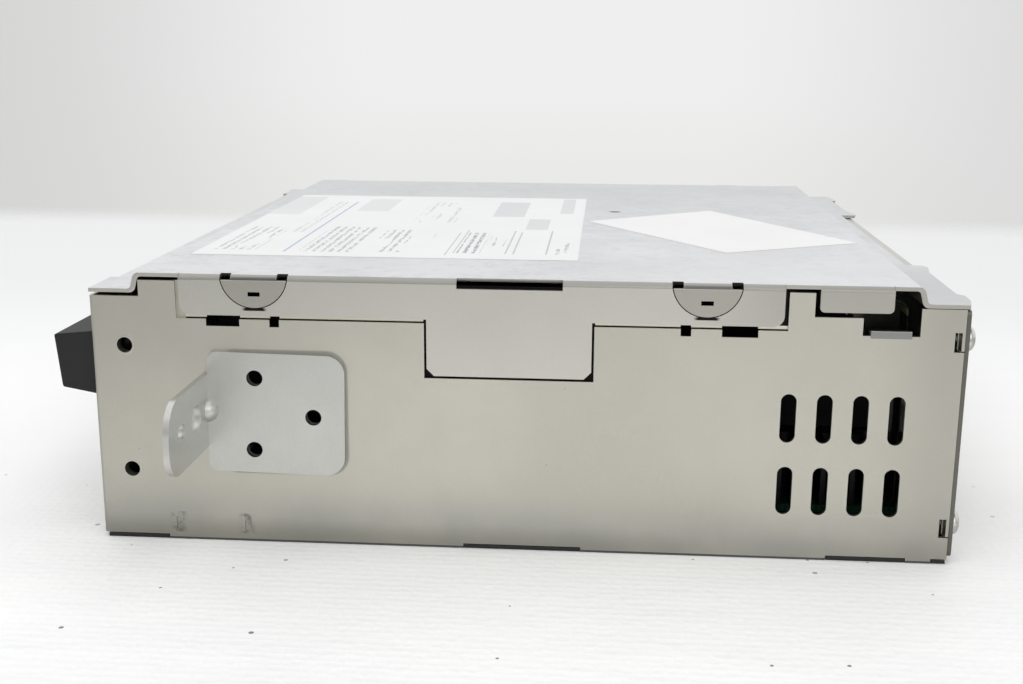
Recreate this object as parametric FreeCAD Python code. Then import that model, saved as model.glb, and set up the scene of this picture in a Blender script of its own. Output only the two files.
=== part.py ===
import FreeCAD, Part
import math
import os

# Car disc player in a folded sheet metal case, millimetres.
# The origin is the middle of the case footprint on the plane it rests on.
# The disc slot faces low x, the sockets face high x, z is up.

# Case
BODY_LENGTH = 178.0
BODY_WIDTH = 178.0
SHEET = 0.8
COVER_TOP = 57.9
SHELF_DROP = 3.4
WALL_FOOT = 1.0
SHELF_SEAT_GAP = 0.7
REAR_SEAT_GAP = 0.1
RAISED_SEAT_GAP = 0.7
CORNER_RADIUS = 0.9
FLANGE_DEPTH = 6.0

# Side wall features: spans run back from the front face, heights from the resting plane
FOOT_TAB_SPANS = ((14.4, 77.9), (102.6, 153.4), (169.7, 174.8))
WALL_RAISE_START = 10.6
WALL_RAISE_END = 169.2
RECESS_MARGIN = 0.8
SERVICE_NOTCH_START = 148.35
SERVICE_NOTCH_FLOOR = 51.5
BENT_TAB_START = 159.6
BENT_TAB_END = 167.6
BENT_TAB_ROOT = 47.9
BENT_TAB_DEPTH = 4.5
BENT_TAB_RELIEF = 1.65
WINDOW_SPANS = ((24.6, 31.6), (37.9, 39.9), (121.95, 124.05), (130.2, 137.4))
WINDOW_HEIGHT = 2.3
THREAD_HOLE_X = 7.1
THREAD_HOLE_HEIGHTS = (15.56, 42.64)
THREAD_HOLE_RADIUS = 1.65
THREAD_COLLAR_RADIUS = 2.5
THREAD_COLLAR_DEPTH = 1.5
THREAD_RIM_HEIGHT = 0.15
VENT_FIRST_X = 144.18
VENT_PITCH = 7.21
VENT_COUNT = 4
VENT_WIDTH = 3.15
VENT_LENGTH = 10.25
VENT_ROW_HEIGHTS = (14.95, 30.39)
DIMPLE_X = (16.6, 31.5)
DIMPLE_HEIGHT = 3.75
DIMPLE_LENGTH = 3.5
DIMPLE_WIDTH = 1.4
DIMPLE_DEPTH = 0.35

# Top cover
COVER_FRONT_STEP = 9.7
COVER_REAR_STEP = 169.5
COVER_STEP_RUN = 0.9
COVER_BEND_RADIUS = 1.5
COVER_FRONT_EDGE = 1.6
COVER_FRONT_EAR = 1.6
COVER_FRONT_EAR_WIDTH = 13.0
COVER_REAR_EDGE = 175.8
COVER_REAR_EAR = 4.6
COVER_REAR_EAR_WIDTH = 46.0
COVER_REAR_EAR_EDGE = ((178.6, 0.2), (179.8, 5.0), (180.0, 10.2), (178.7, 12.0), (179.1, 37.0),
                       (180.4, 43.6), (179.6, 46.0))
BEND_RADIUS = 1.4
SKIRT_START = 19.1
SKIRT_END = 142.45
SKIRT_BOTTOM = 49.33
SKIRT_CORNER = 2.2
REAR_SKIRT_START = 149.3
REAR_SKIRT_END = 163.8
REAR_SKIRT_BOTTOM = 52.5
REAR_SKIRT_CORNER = 1.0
TONGUE_START = 70.4
TONGUE_END = 104.15
TONGUE_BOTTOM = 37.5
TONGUE_CHAMFER = 1.5
TONGUE_GAP = 0.5
LATCH_CENTRES = (34.85, 127.07)
LATCH_RADIUS = 7.15
LATCH_GAP = 0.2
LATCH_NOTCH_INNER = 4.8
LATCH_NOTCH_DEPTH = 1.7
LATCH_SLOT = (2.5, 0.9)
LATCH_SLOT_HEIGHT = 53.85
PRY_SLOT_SPAN = (76.6, 98.15)
PRY_SLOT_BOTTOM = 55.8
PRY_SLOT_DEPTH = 1.1
OPENING_UNDERCUT = 0.5

# Rear plate
REAR_PLATE_GAP = 0.1
REAR_PLATE_BOTTOM = 1.5
REAR_FLANGE_WIDTH = 10.0
REAR_SCREW_INSET = 4.5
REAR_SCREW_HEIGHTS = (7.7, 46.9)
REAR_VENT_COUNT = 8
REAR_VENT_FIRST_Y = -62.0
REAR_VENT_PITCH = 8.0
REAR_VENT_HEIGHT = 27.2
REAR_VENT_LENGTH = 8.0
RELIEF_SLOT_START = 2.0
RELIEF_SLOT_WIDTH = 1.4
RELIEF_SLOT_HEIGHT = 4.0

# M3 pan head screws
SCREW_RADIUS = 1.45
SCREW_HOLE_RADIUS = 1.5
SCREW_HEAD_RADIUS = 2.75
SCREW_HEAD_HEIGHT = 2.0
SCREW_CROSS_WIDTH = 0.8
SCREW_CROSS_LENGTH = 3.0
SCREW_CROSS_DEPTH = 1.1
SHORT_SCREW_LENGTH = 5.0

# Side brackets, spot welded to the side walls
BRACKET_SHEET = 1.2
BRACKET_START = 24.3
BRACKET_LENGTH = 28.8
BRACKET_BOTTOM = 16.1
BRACKET_HEIGHT = 25.8
BRACKET_TILT = 1.0
BRACKET_HOLES = ((9.96, 20.46), (22.24, 12.51), (9.68, 4.97))
BRACKET_HOLE_RADIUS = 1.7
BRACKET_EAR_REACH = 26.0
BRACKET_EAR_BOTTOM = 5.4
BRACKET_EAR_TOP = 20.9
BRACKET_EAR_CORNER = 6.0
EAR_HOLE_REACH = 9.1
EAR_HOLE_HEIGHT = 13.65
EAR_HOLE_RADIUS = 2.85
EAR_SLOT_REACH = 18.4
EAR_SLOT_SIZE = (4.5, 3.0)

# Slot nose
NOSE_HALF_WIDTH = 86.5
NOSE_DEPTH = 9.3
NOSE_TOP_AT_WALL = 44.9
NOSE_BOTTOM_AT_WALL = 31.1
NOSE_TOP_AT_FACE = 44.0
NOSE_BOTTOM_AT_FACE = 32.6
NOSE_LEAN = 1.1
NOSE_WALL = 1.8
SLOT_HALF_WIDTH = 63.0
SLOT_HEIGHT = 5.0
SLOT_CENTRE_HEIGHT = 38.0
NOSE_BOSS_Y = (67.2, 83.8)
NOSE_BOSS_RADIUS = 2.4

# Slot door behind the front wall
DOOR_AXIS_BACK = 3.0
DOOR_AXIS_HEIGHT = 43.0
DOOR_PIN_RADIUS = 1.0
DOOR_PLATE = 1.0
DOOR_REACH = 8.4
DOOR_SPRING_WIRE = 0.4
DOOR_SPRING_PITCH = 0.55
DOOR_SPRING_TURNS = 3
DOOR_SPRING_LEG = 5.0
EAR_INSET = 2.4
RUNNING_GAP = 0.05
BODY_GAP = 0.4
SEAT_GAP = 0.3

# Eject button
BUTTON_Y = 75.5
BUTTON_WIDTH = 9.4
BUTTON_HEIGHT = 5.0
BUTTON_PROUD = 0.8
BUTTON_TRAVEL = 1.0
BUTTON_STEM_RADIUS = 1.5
BUTTON_COLLAR = 1.0
BUTTON_SPRING_WIRE = 0.35
BUTTON_SPRING_TURNS = 6
STEM_HOLE_GAP = 0.2
SWITCH_SIZE = 6.0
SWITCH_DEPTH = 1.6
SWITCH_PLUNGER = 0.5
SWITCH_CLEARANCE = 0.1
FRONT_BOARD_STANDOFF = 2.8
FRONT_BOARD_SCREW_SPREAD = 5.0
FRONT_BOARD_SCREW_DROP = 9.0
FRONT_BOARD_WIDTH = 17.0
FRONT_BOARD_BOTTOM = 25.5
FRONT_BOARD_TOP = 42.0

# Main circuit board
BOARD_HEIGHT = 6.4
BOARD_THICKNESS = 1.6
BOARD_FRONT = 22.0
BOARD_REAR_MARGIN = 4.0
BOARD_HALF_WIDTH = 78.0
BOARD_CHIPS = ((60.0, -14.0, 24.0, 24.0, 2.4), (96.0, 18.0, 18.0, 18.0, 2.2), (44.0, 22.0, 18.0, 10.0, 1.6),
               (66.0, 28.0, 18.0, 10.0, 1.6), (108.0, -42.0, 14.0, 8.0, 1.8), (40.0, -44.0, 16.0, 12.0, 2.0))
SHIELD_FRONT = 110.0
SHIELD_LENGTH = 34.0
SHIELD_Y = 40.0
SHIELD_WIDTH = 30.0
SHIELD_HEIGHT = 4.5
SHIELD_SHEET = 0.3
SHIELD_HOLE_RADIUS = 1.2
SHIELD_HOLE_FIRST = (6.0, 7.0)
SHIELD_HOLE_PITCH = (5.5, 5.3)
PICKUP_FLEX_FRONT = 100.0
PICKUP_FLEX_FOOT = 7.0
PICKUP_FLEX_SLANT = 3.0
PICKUP_FLEX_HEAD = 10.0
PICKUP_FLEX_SPAN = (-32.0, -20.0)
FLEX_BEND_RADIUS = 2.5
DECK_WINDOW_SETBACK = 36.0
DECK_WINDOW_RIM = 3.0
DECK_WINDOW_SPAN = (-17.0, 16.5)
CAPACITORS = ((132.0, -34.0, 5.0, 10.0), (145.0, -36.0, 4.0, 9.0), (120.0, -62.0, 4.0, 9.0),
              (108.0, -64.0, 3.2, 7.0), (134.0, 8.0, 3.2, 7.0), (146.0, 20.0, 4.0, 9.0),
              (88.0, -62.0, 3.2, 7.0))
CAPACITOR_RIM_RADIUS = 0.5
HEAT_SINK_FRONT = 144.0
HEAT_SINK_LENGTH = 20.0
HEAT_SINK_DEPTH = 10.0
HEAT_SINK_HEIGHT = 14.0
HEAT_SINK_BASE = 2.5
HEAT_SINK_FIN = 1.2
HEAT_SINK_FIN_PITCH = 3.1
HEAT_SINK_FIN_COUNT = 7
HEAT_SINK_FIN_ROOT = 0.1
POWER_PART_FRONTS = (145.5, 155.5)
POWER_PART_WIDTH = 8.0
POWER_PART_DEPTH = 3.0
POWER_PART_HEIGHT = 10.0
POWER_PART_LIFT = 2.5
POWER_LEG_COUNT = 3
POWER_LEG_FIRST = 1.2
POWER_LEG_PITCH = 2.4
POWER_LEG_WIDTH = 0.8
POWER_LEG_DEPTH = 0.6
POWER_LEG_SETBACK = 1.0
POWER_LEG_ROOT = 0.1
BOARD_BOSS_PLACES = ((28.0, 72.0), (98.0, 72.0), (160.0, 46.0))
BOARD_BOSS_RADIUS = 4.0

# Rear sockets: centre across the case, width, height, reach behind the rear plate
POWER_SOCKET = (-47.0, 36.0, 13.0, 5.0)
VIDEO_SOCKET = (-4.0, 28.0, 11.0, 6.0)
CONTROL_SOCKET = (61.0, 22.0, 11.0, 6.0)
UPPER_SOCKET = (34.0, 20.0, 12.0, 2.8)
SOCKET_COLUMN_COUNTS = (8, 6, 5, 4)
UPPER_SOCKET_BOTTOM = 38.3
SOCKET_WALL = 1.3
SOCKET_DEPTH_INSIDE = 11.0
RISER_BOARD_SETBACK = 8.1
RISER_BOARD_SPAN = (16.0, 46.0)
RISER_BOARD_TOP = 51.5
SOCKET_GAP = 0.5
PIN_SIZE = 0.7
PIN_SETBACK = 2.5

# Flat cables
FLEX_THICKNESS = 0.3
FLEX_LOOP_TOP = 53.0

# Disc deck
DECK_BOTTOM = 24.0
DECK_SHEET = 1.0
DECK_FRONT = 8.5
DECK_REAR = 167.0
DECK_HALF_WIDTH = 72.0
DECK_FLANGE_TOP = 47.0
SPINDLE_X = 85.0
DISC_UNDERSIDE = 37.4
FRONT_DAMPER = (30.0, 56.0)
REAR_DAMPER = (151.0, 60.0)
DAMPER_RADIUS = 4.5
DAMPER_NECK = 3.1
DAMPER_LOWER = 3.5
DAMPER_UPPER = 3.0
POST_RADIUS = 3.5
POST_RIVET_RADIUS = 2.4
POST_BORE_BOTTOM = 6.0

# Loading roller and its gears, teeth of module 0.5
MODULE = 0.5
ROLLER_X = 16.0
ROLLER_END_RADIUS = 4.6
ROLLER_WAIST_RADIUS = 3.7
ROLLER_SHAFT_RADIUS = 1.5
ROLLER_INNER_Y = 5.0
ROLLER_OUTER_Y = 62.0
ROLLER_TEETH = 20
IDLER_TEETH = 28
REDUCTION_SMALL_TEETH = 14
REDUCTION_LARGE_TEETH = 40
PINION_TEETH = 10
IDLER_DIRECTION = 63.0
REDUCTION_DIRECTION = -25.0
GEAR_WIDTH = 2.5
LARGE_GEAR_WIDTH = 2.0
GEAR_LAYER_GAP = 1.1
GEAR_PIN_RADIUS = 1.2
LOADING_MOTOR_HEIGHT = 31.0
LOADING_MOTOR_RADIUS = 5.5
LOADING_MOTOR_LENGTH = 25.0
ARM_PIVOT_X = 31.0
ARM_PIVOT_HEIGHT = 29.0
ARM_BAR_HEIGHT = 5.4
ARM_SHEET = 1.2
ARM_Y = 69.6
ARM_DROP_ANGLE = 13.0
ARM_CAM_PIN = (10.0, 4.0)

# Cam slider on the deck's right side
CAM_TRAVEL = 10.0
CAM_SHEET = 1.2
CAM_PIN_RADIUS = 1.4
CAM_SLOT_PLAY = 0.35
CAM_GUIDE_PINS = ((58.0, 30.0), (96.0, 31.0))
CAM_GUIDE_RADIUS = 1.5

# Clamp arm and clamper
CLAMP_PIVOT_X = 155.0
CLAMP_PIVOT_HEIGHT = 44.5
CLAMP_PIN_RADIUS = 1.5
CLAMP_ARM_HEIGHT = 46.0
CLAMP_ARM_SHEET = 1.2
CLAMP_DROP_ANGLE = 3.77
CLAMP_CAM_X = 99.0
CLAMP_SIDE_GAP = 0.7
CLAMPER_NECK_RADIUS = 9.0
CLAMPER_RADIUS = 15.0
CLAMPER_BOTTOM = 41.0
CLAMPER_RECESS = 2.4

# Pickup traverse
TRAVERSE_BOTTOM = 26.0
TRAVERSE_SHEET = 1.2
TRAVERSE_FRONT = 65.0
TRAVERSE_REAR = 165.0
TRAVERSE_LEFT = 32.0
TRAVERSE_RIGHT = 50.0
ROD_HEIGHT = 30.5
MAIN_ROD_Y = -21.0
SUB_ROD_Y = 20.0
MAIN_ROD_RADIUS = 1.5
SUB_ROD_RADIUS = 1.25
SLED_START = 101.0
SLED_LENGTH = 24.0
SLED_TRAVEL = 34.0
SLED_BOTTOM = 28.0
SLED_TOP = 33.2
LENS_OFFSET = 8.0
LENS_RADIUS = 2.2
FEED_GEAR_X = 127.0
RACK_LINE_Y = 31.0
FEED_SMALL_TEETH = 12
FEED_LARGE_TEETH = 32
FEED_DIRECTION = 50.0
FEED_MOTOR_RADIUS = 6.0
FEED_MOTOR_LENGTH = 12.0
RACK_BOTTOM = 31.4
RACK_THICKNESS = 1.8
FEED_LARGE_BOTTOM = 28.6
FEED_LARGE_WIDTH = 1.8
TURNTABLE_SEAT = 34.6
TURNTABLE_RADIUS = 14.0
HUB_RADIUS = 7.35
HUB_TOP = 35.8

# Sizes that follow from the ones above
FRONT = -BODY_LENGTH / 2
REAR = BODY_LENGTH / 2
LEFT = -BODY_WIDTH / 2
SHELF_TOP = COVER_TOP - SHELF_DROP
WALL_TOP = COVER_TOP - SHEET - RAISED_SEAT_GAP
SHELF_WALL_TOP = SHELF_TOP - SHEET - SHELF_SEAT_GAP
REAR_WALL_TOP = SHELF_TOP - SHEET - REAR_SEAT_GAP
LATCH_CENTRE_HEIGHT = COVER_TOP + 0.05
LATCH_TOP = COVER_TOP - 1.15
REAR_PLATE_X = REAR + REAR_PLATE_GAP
BOARD_TOP = BOARD_HEIGHT + BOARD_THICKNESS
DECK_TOP = DECK_BOTTOM + DECK_SHEET
ROLLER_HEIGHT = DISC_UNDERSIDE - ROLLER_END_RADIUS
TRAVERSE_TOP = TRAVERSE_BOTTOM + TRAVERSE_SHEET
FEED_SMALL_RADIUS = MODULE * FEED_SMALL_TEETH / 2
FEED_GEAR_Y = RACK_LINE_Y + FEED_SMALL_RADIUS

# Labels on the lid: from x to x and from y to y, and the corners of the sticker
LABEL_THICKNESS = 0.1
RATING_LABEL = (14.3, 100.5, 23.8, 134.0)
SERVICE_STICKER = ((101.8, 86.2), (133.9, 38.0), (166.6, 56.0), (135.5, 111.2))


def from_front(distance):
    """Place a length measured back from the front face."""
    return FRONT + distance


def vec(x, y, z):
    return FreeCAD.Vector(x, y, z)


def box(x0, x1, y0, y1, z0, z1):
    return Part.makeBox(x1 - x0, y1 - y0, z1 - z0, vec(x0, y0, z0))


def rod(axis, radius, low, high, a, b):
    """Cylinder along an axis; a and b are its two other coordinates in x, y, z order."""
    if axis == "x":
        return Part.makeCylinder(radius, high - low, vec(low, a, b), vec(1, 0, 0))
    if axis == "y":
        return Part.makeCylinder(radius, high - low, vec(a, low, b), vec(0, 1, 0))
    return Part.makeCylinder(radius, high - low, vec(a, b, low), vec(0, 0, 1))


def fuse(shapes):
    result = shapes[0].multiFuse(shapes[1:]) if len(shapes) > 1 else shapes[0]
    return result.removeSplitter()


def cut(shape, tools):
    return shape.cut(tools)


def group(shapes):
    return Part.makeCompound(shapes)


def mirrored(shape):
    """The same shape on the other side of the case."""
    return shape.mirror(vec(0, 0, 0), vec(0, 1, 0))


def both_sides(shapes):
    return shapes + [mirrored(shape) for shape in shapes]


def profile_y(points, y0, y1):
    """Prism along y from a closed outline of (x, z) points."""
    wire = Part.makePolygon([vec(x, y0, z) for x, z in points + points[:1]])
    return Part.Face(wire).extrude(vec(0, y1 - y0, 0))


def profile_z(points, z0, z1):
    """Prism along z from a closed outline of (x, y) points."""
    wire = Part.makePolygon([vec(x, y, z0) for x, y in points + points[:1]])
    return Part.Face(wire).extrude(vec(0, 0, z1 - z0))


def profile_x(points, x0, x1):
    """Prism along x from a closed outline of (y, z) points."""
    wire = Part.makePolygon([vec(x0, y, z) for y, z in points + points[:1]])
    return Part.Face(wire).extrude(vec(x1 - x0, 0, 0))


def obround(axis, a, b, width, height, low, high):
    """Slot with round ends along x or y; the width is level and the height upright."""
    radius = min(width, height) / 2
    level = width / 2 - radius
    upright = height / 2 - radius
    if near(level, 0) and near(upright, 0):
        return rod(axis, radius, low, high, a, b)
    ends = [rod(axis, radius, low, high, a + side * level, b + side * upright) for side in (-1, 1)]
    half_a = level if level > 0 else radius
    half_b = upright if upright > 0 else radius
    if axis == "y":
        core = box(a - half_a, a + half_a, low, high, b - half_b, b + half_b)
    else:
        core = box(low, high, a - half_a, a + half_a, b - half_b, b + half_b)
    return fuse(ends + [core])


def obround_y(x, z, width, height, y0, y1):
    return obround("y", x, z, width, height, y0, y1)


def slot_between(start, end, radius, y0, y1):
    """Round-ended slot along y whose pin path runs from start to end in (x, z)."""
    dx = end[0] - start[0]
    dz = end[1] - start[1]
    length = math.hypot(dx, dz)
    nx = -dz / length * radius
    nz = dx / length * radius
    corners = [
        (start[0] + nx, start[1] + nz),
        (end[0] + nx, end[1] + nz),
        (end[0] - nx, end[1] - nz),
        (start[0] - nx, start[1] - nz),
    ]
    ends = [rod("y", radius, y0, y1, start[0], start[1]), rod("y", radius, y0, y1, end[0], end[1])]
    return fuse([profile_y(corners, y0, y1)] + ends)


def fillet_where(shape, radius, test):
    """Round every straight edge whose end points pass the test."""
    chosen = []
    for edge in shape.Edges:
        if len(edge.Vertexes) == 2 and test(edge.Vertexes[0].Point, edge.Vertexes[1].Point):
            chosen.append(edge)
    return shape.makeFillet(radius, chosen)


def along(axis, p, q):
    """True when the edge from p to q runs along the named axis."""
    others = {"x": ("y", "z"), "y": ("x", "z"), "z": ("x", "y")}[axis]
    return all(abs(getattr(p, name) - getattr(q, name)) < 1e-6 for name in others)


def near(a, b):
    return abs(a - b) < 1e-5


def pan_screw(length):
    """Pan head screw along +z, head seated on z = 0 and standing down to -z."""
    shank = rod("z", SCREW_RADIUS, 0, length, 0, 0)
    head = rod("z", SCREW_HEAD_RADIUS, -SCREW_HEAD_HEIGHT, 0, 0, 0)
    rim = head.Edges
    top = [edge for edge in rim if len(edge.Vertexes) == 1 and near(edge.Vertexes[0].Z, -SCREW_HEAD_HEIGHT)]
    head = head.makeFillet(min(1.3, SCREW_HEAD_HEIGHT * 0.6), top)
    half_length = SCREW_CROSS_LENGTH / 2
    half_width = SCREW_CROSS_WIDTH / 2
    low = -SCREW_HEAD_HEIGHT
    cross = [
        box(-half_length, half_length, -half_width, half_width, low, low + SCREW_CROSS_DEPTH),
        box(-half_width, half_width, -half_length, half_length, low, low + SCREW_CROSS_DEPTH),
    ]
    return cut(fuse([shank, head]), cross)


def aimed(shape, direction, place):
    """Turn a shape built along +z to a direction and move it to its place."""
    turned = shape.copy()
    rotation = FreeCAD.Rotation(vec(0, 0, 1), direction)
    turned.Placement = FreeCAD.Placement(place, rotation)
    return turned


def gear_points(teeth, angle):
    """Involute tooth outline, one tooth centred on the given angle in degrees."""
    pressure = math.radians(20)
    pitch_radius = MODULE * teeth / 2
    base_radius = pitch_radius * math.cos(pressure)
    tip_radius = pitch_radius + 0.85 * MODULE
    root_radius = pitch_radius - 1.2 * MODULE
    half_tooth = 0.43 * math.pi / teeth

    def half_angle(radius):
        roll = math.acos(min(1.0, base_radius / radius))
        return half_tooth + math.tan(pressure) - pressure - (math.tan(roll) - roll)

    radii = [max(base_radius, root_radius + 0.05), pitch_radius, tip_radius]
    flank = [(root_radius, half_angle(radii[0]))] + [(radius, half_angle(radius)) for radius in radii]
    points = []
    for tooth in range(teeth):
        centre = math.radians(angle) + 2 * math.pi * tooth / teeth
        side = [(radius, centre - spread) for radius, spread in flank]
        side += [(radius, centre + spread) for radius, spread in reversed(flank)]
        points += [(radius * math.cos(turn), radius * math.sin(turn)) for radius, turn in side]
    return points


def gear_z(teeth, angle, x, y, z0, z1):
    """Gear about a vertical axis."""
    points = [(x + px, y + py) for px, py in gear_points(teeth, angle)]
    return profile_z(points, z0, z1)


def gear_y(teeth, angle, x, z, y0, y1):
    """Gear about an axis along y; the angle runs from +x towards +z."""
    points = [(x + px, z + pz) for px, pz in gear_points(teeth, angle)]
    return profile_y(points, y0, y1)


def meshed_angle(angle, teeth, direction, next_teeth):
    """Angle of the next gear, found along direction, so that its gaps meet the first one's teeth."""
    offset = angle - direction
    return direction + 180 + 180 / next_teeth - offset * teeth / next_teeth


def step_from(x, z, distance, degrees):
    return x + distance * math.cos(math.radians(degrees)), z + distance * math.sin(math.radians(degrees))


def swung(point, pivot, degrees):
    """A point in (x, z) turned about a pivot; positive turns +x towards +z."""
    dx = point[0] - pivot[0]
    dz = point[1] - pivot[1]
    turn = math.radians(degrees)
    x = pivot[0] + dx * math.cos(turn) - dz * math.sin(turn)
    z = pivot[1] + dx * math.sin(turn) + dz * math.cos(turn)
    return x, z


def foot_recess_spans():
    """Stretches between the wall's foot tabs, where the bottom cover shows."""
    starts = [0.0] + [span[1] for span in FOOT_TAB_SPANS]
    ends = [span[0] for span in FOOT_TAB_SPANS] + [BODY_LENGTH]
    return list(zip(starts, ends))


# Case pieces


def bracket_hole_places():
    """The bracket pad's holes as they lie on the wall, turned with the pad."""
    turn = math.radians(BRACKET_TILT)
    places = []
    for x, z in BRACKET_HOLES:
        across = x * math.cos(turn) + z * math.sin(turn)
        up = z * math.cos(turn) - x * math.sin(turn)
        places.append((from_front(BRACKET_START) + across, BRACKET_BOTTOM + up))
    return places


def wall_cuts():
    """Everything cut from the left wall, as tools that pass through its sheet."""
    out = LEFT - 1
    deep = LEFT + 2 * SHEET + 1
    top = COVER_TOP + 1
    tools = [box(FRONT - 1, from_front(WALL_RAISE_START), out, deep, SHELF_WALL_TOP, top)]
    tools.append(box(from_front(WALL_RAISE_END), REAR + 1, out, deep, REAR_WALL_TOP, top))
    tools += [rod("y", BRACKET_HOLE_RADIUS, out, deep, x, z) for x, z in bracket_hole_places()]
    tools.append(box(from_front(SERVICE_NOTCH_START), from_front(BENT_TAB_START), out, deep,
                     SERVICE_NOTCH_FLOOR, top))
    relief_start = BENT_TAB_START - BENT_TAB_RELIEF
    tools.append(box(from_front(relief_start), from_front(WALL_RAISE_END), out, deep, BENT_TAB_ROOT, top))
    for start, end in WINDOW_SPANS:
        tools.append(box(from_front(start), from_front(end), out, deep, SKIRT_BOTTOM - WINDOW_HEIGHT,
                         SKIRT_BOTTOM))
    for height in VENT_ROW_HEIGHTS:
        for index in range(VENT_COUNT):
            x = from_front(VENT_FIRST_X + VENT_PITCH * index)
            tools.append(obround_y(x, height, VENT_WIDTH, VENT_LENGTH, out, deep))
    for height in REAR_SCREW_HEIGHTS:
        start = REAR - RELIEF_SLOT_START
        half = RELIEF_SLOT_HEIGHT / 2
        tools.append(box(start, start + RELIEF_SLOT_WIDTH, out, deep, height - half, height + half))
        tools.append(box(start, REAR + 1, out, LEFT + SHEET + 0.4, height - half, height - half + 0.25))
    for centre in LATCH_CENTRES:
        width, height = LATCH_SLOT
        tools.append(box(from_front(centre) - width / 2, from_front(centre) + width / 2, out, deep,
                         LATCH_SLOT_HEIGHT - height / 2, LATCH_SLOT_HEIGHT + height / 2))
    return tools


def recess_tools():
    """The pocket that takes the cover's skirt and tongue flush with the wall."""
    x0 = from_front(SKIRT_START - RECESS_MARGIN)
    x1 = from_front(SKIRT_END + RECESS_MARGIN)
    skirt = box(x0, x1, LEFT - 1, LEFT + SHEET, SKIRT_BOTTOM - RECESS_MARGIN, COVER_TOP)
    tongue = box(from_front(TONGUE_START - TONGUE_GAP), from_front(TONGUE_END + TONGUE_GAP), LEFT - 1,
                 LEFT + SHEET, TONGUE_BOTTOM - TONGUE_GAP, SKIRT_BOTTOM)
    return [skirt, tongue]


def recess_backing():
    """Wall sheet set in by its own thickness behind the skirt and the tongue."""
    x0 = from_front(SKIRT_START - RECESS_MARGIN) - SHEET
    x1 = from_front(SKIRT_END + RECESS_MARGIN) + SHEET
    inner = LEFT + 2 * SHEET
    skirt = box(x0, x1, LEFT + SHEET, inner, SKIRT_BOTTOM - RECESS_MARGIN - SHEET, WALL_TOP)
    tongue = box(from_front(TONGUE_START - TONGUE_GAP) - SHEET, from_front(TONGUE_END + TONGUE_GAP) + SHEET,
                 LEFT + SHEET, inner, TONGUE_BOTTOM - TONGUE_GAP - SHEET, SKIRT_BOTTOM)
    return fuse([skirt, tongue])


def latch_faces():
    """Half-round parts of the wall that stand out through the skirt's windows."""
    faces = []
    for centre in LATCH_CENTRES:
        radius = LATCH_RADIUS - LATCH_GAP
        disc = rod("y", radius, LEFT, LEFT + SHEET, from_front(centre), LATCH_CENTRE_HEIGHT)
        above = box(from_front(centre) - radius, from_front(centre) + radius, LEFT - 1, LEFT + 3 * SHEET,
                    LATCH_TOP, COVER_TOP + LATCH_RADIUS)
        faces.append(disc.cut(above))
    return faces


def wall_additions():
    """Foot tabs, threaded collars, dimples, bent tab and rear flange of the left wall."""
    pieces = []
    for start, end in FOOT_TAB_SPANS:
        pieces.append(box(from_front(start), from_front(end), LEFT, LEFT + SHEET, 0, WALL_FOOT + 0.5))
    for height in THREAD_HOLE_HEIGHTS:
        x = from_front(THREAD_HOLE_X)
        rim = THREAD_HOLE_RADIUS + 0.45
        pieces.append(rod("y", rim, LEFT - THREAD_RIM_HEIGHT, LEFT + SHEET, x, height))
        pieces.append(rod("y", THREAD_COLLAR_RADIUS, LEFT + SHEET / 2, LEFT + SHEET + THREAD_COLLAR_DEPTH,
                          x, height))
    for x in DIMPLE_X:
        pieces.append(obround_y(from_front(x), DIMPLE_HEIGHT, DIMPLE_WIDTH, DIMPLE_LENGTH,
                                LEFT + SHEET / 2, LEFT + SHEET + DIMPLE_DEPTH))
    tab = box(from_front(BENT_TAB_START), from_front(BENT_TAB_END), LEFT, LEFT + BENT_TAB_DEPTH,
              BENT_TAB_ROOT - 0.3, BENT_TAB_ROOT - 0.3 + SHEET)
    edge_height = BENT_TAB_ROOT - 0.3 + SHEET
    pieces.append(fillet_where(tab, 0.6, lambda p, q: along("x", p, q) and near(p.y, LEFT)
                               and near(p.z, edge_height)))
    flange_top = REAR_WALL_TOP - 1
    pieces.append(box(REAR - SHEET, REAR, LEFT + SHEET / 2, LEFT + REAR_FLANGE_WIDTH, WALL_FOOT + 2,
                      flange_top))
    return pieces


def thread_hole_tools():
    x = from_front(THREAD_HOLE_X)
    y0 = LEFT - 1
    y1 = LEFT + SHEET + THREAD_COLLAR_DEPTH + 1
    return [rod("y", THREAD_HOLE_RADIUS, y0, y1, x, height) for height in THREAD_HOLE_HEIGHTS]


def dimple_tools():
    return [obround_y(from_front(x), DIMPLE_HEIGHT, DIMPLE_WIDTH - 0.3, DIMPLE_LENGTH - 0.3, LEFT - 1,
                      LEFT + DIMPLE_DEPTH) for x in DIMPLE_X]


def rear_screw_places():
    y = LEFT + REAR_SCREW_INSET
    return [(side * y, height) for side in (1, -1) for height in REAR_SCREW_HEIGHTS]


def door_ears():
    """Lanced ears on the front wall that carry the slot door's pins."""
    x = from_front(DOOR_AXIS_BACK)
    y = SLOT_HALF_WIDTH + EAR_INSET
    ear = box(FRONT + SHEET / 2, x + 2.2, y, y + SHEET, DOOR_AXIS_HEIGHT - 2.2, DOOR_AXIS_HEIGHT + 2.2)
    return [ear, mirrored(ear)]


def front_board_places():
    """Screws of the eject switch's board, below the nose screws."""
    return [(BUTTON_Y + side * FRONT_BOARD_SCREW_SPREAD, SLOT_CENTRE_HEIGHT - FRONT_BOARD_SCREW_DROP)
            for side in (-1, 1)]


def front_wall_additions():
    top_flange = box(FRONT + SHEET / 2, FRONT + FLANGE_DEPTH, LEFT + 8, -LEFT - 8, SHELF_WALL_TOP - SHEET,
                     SHELF_WALL_TOP)
    collars = [rod("x", THREAD_COLLAR_RADIUS, FRONT + SHEET / 2, front_board_x(), y, z)
               for y, z in front_board_places()]
    return [top_flange] + door_ears() + collars


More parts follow.
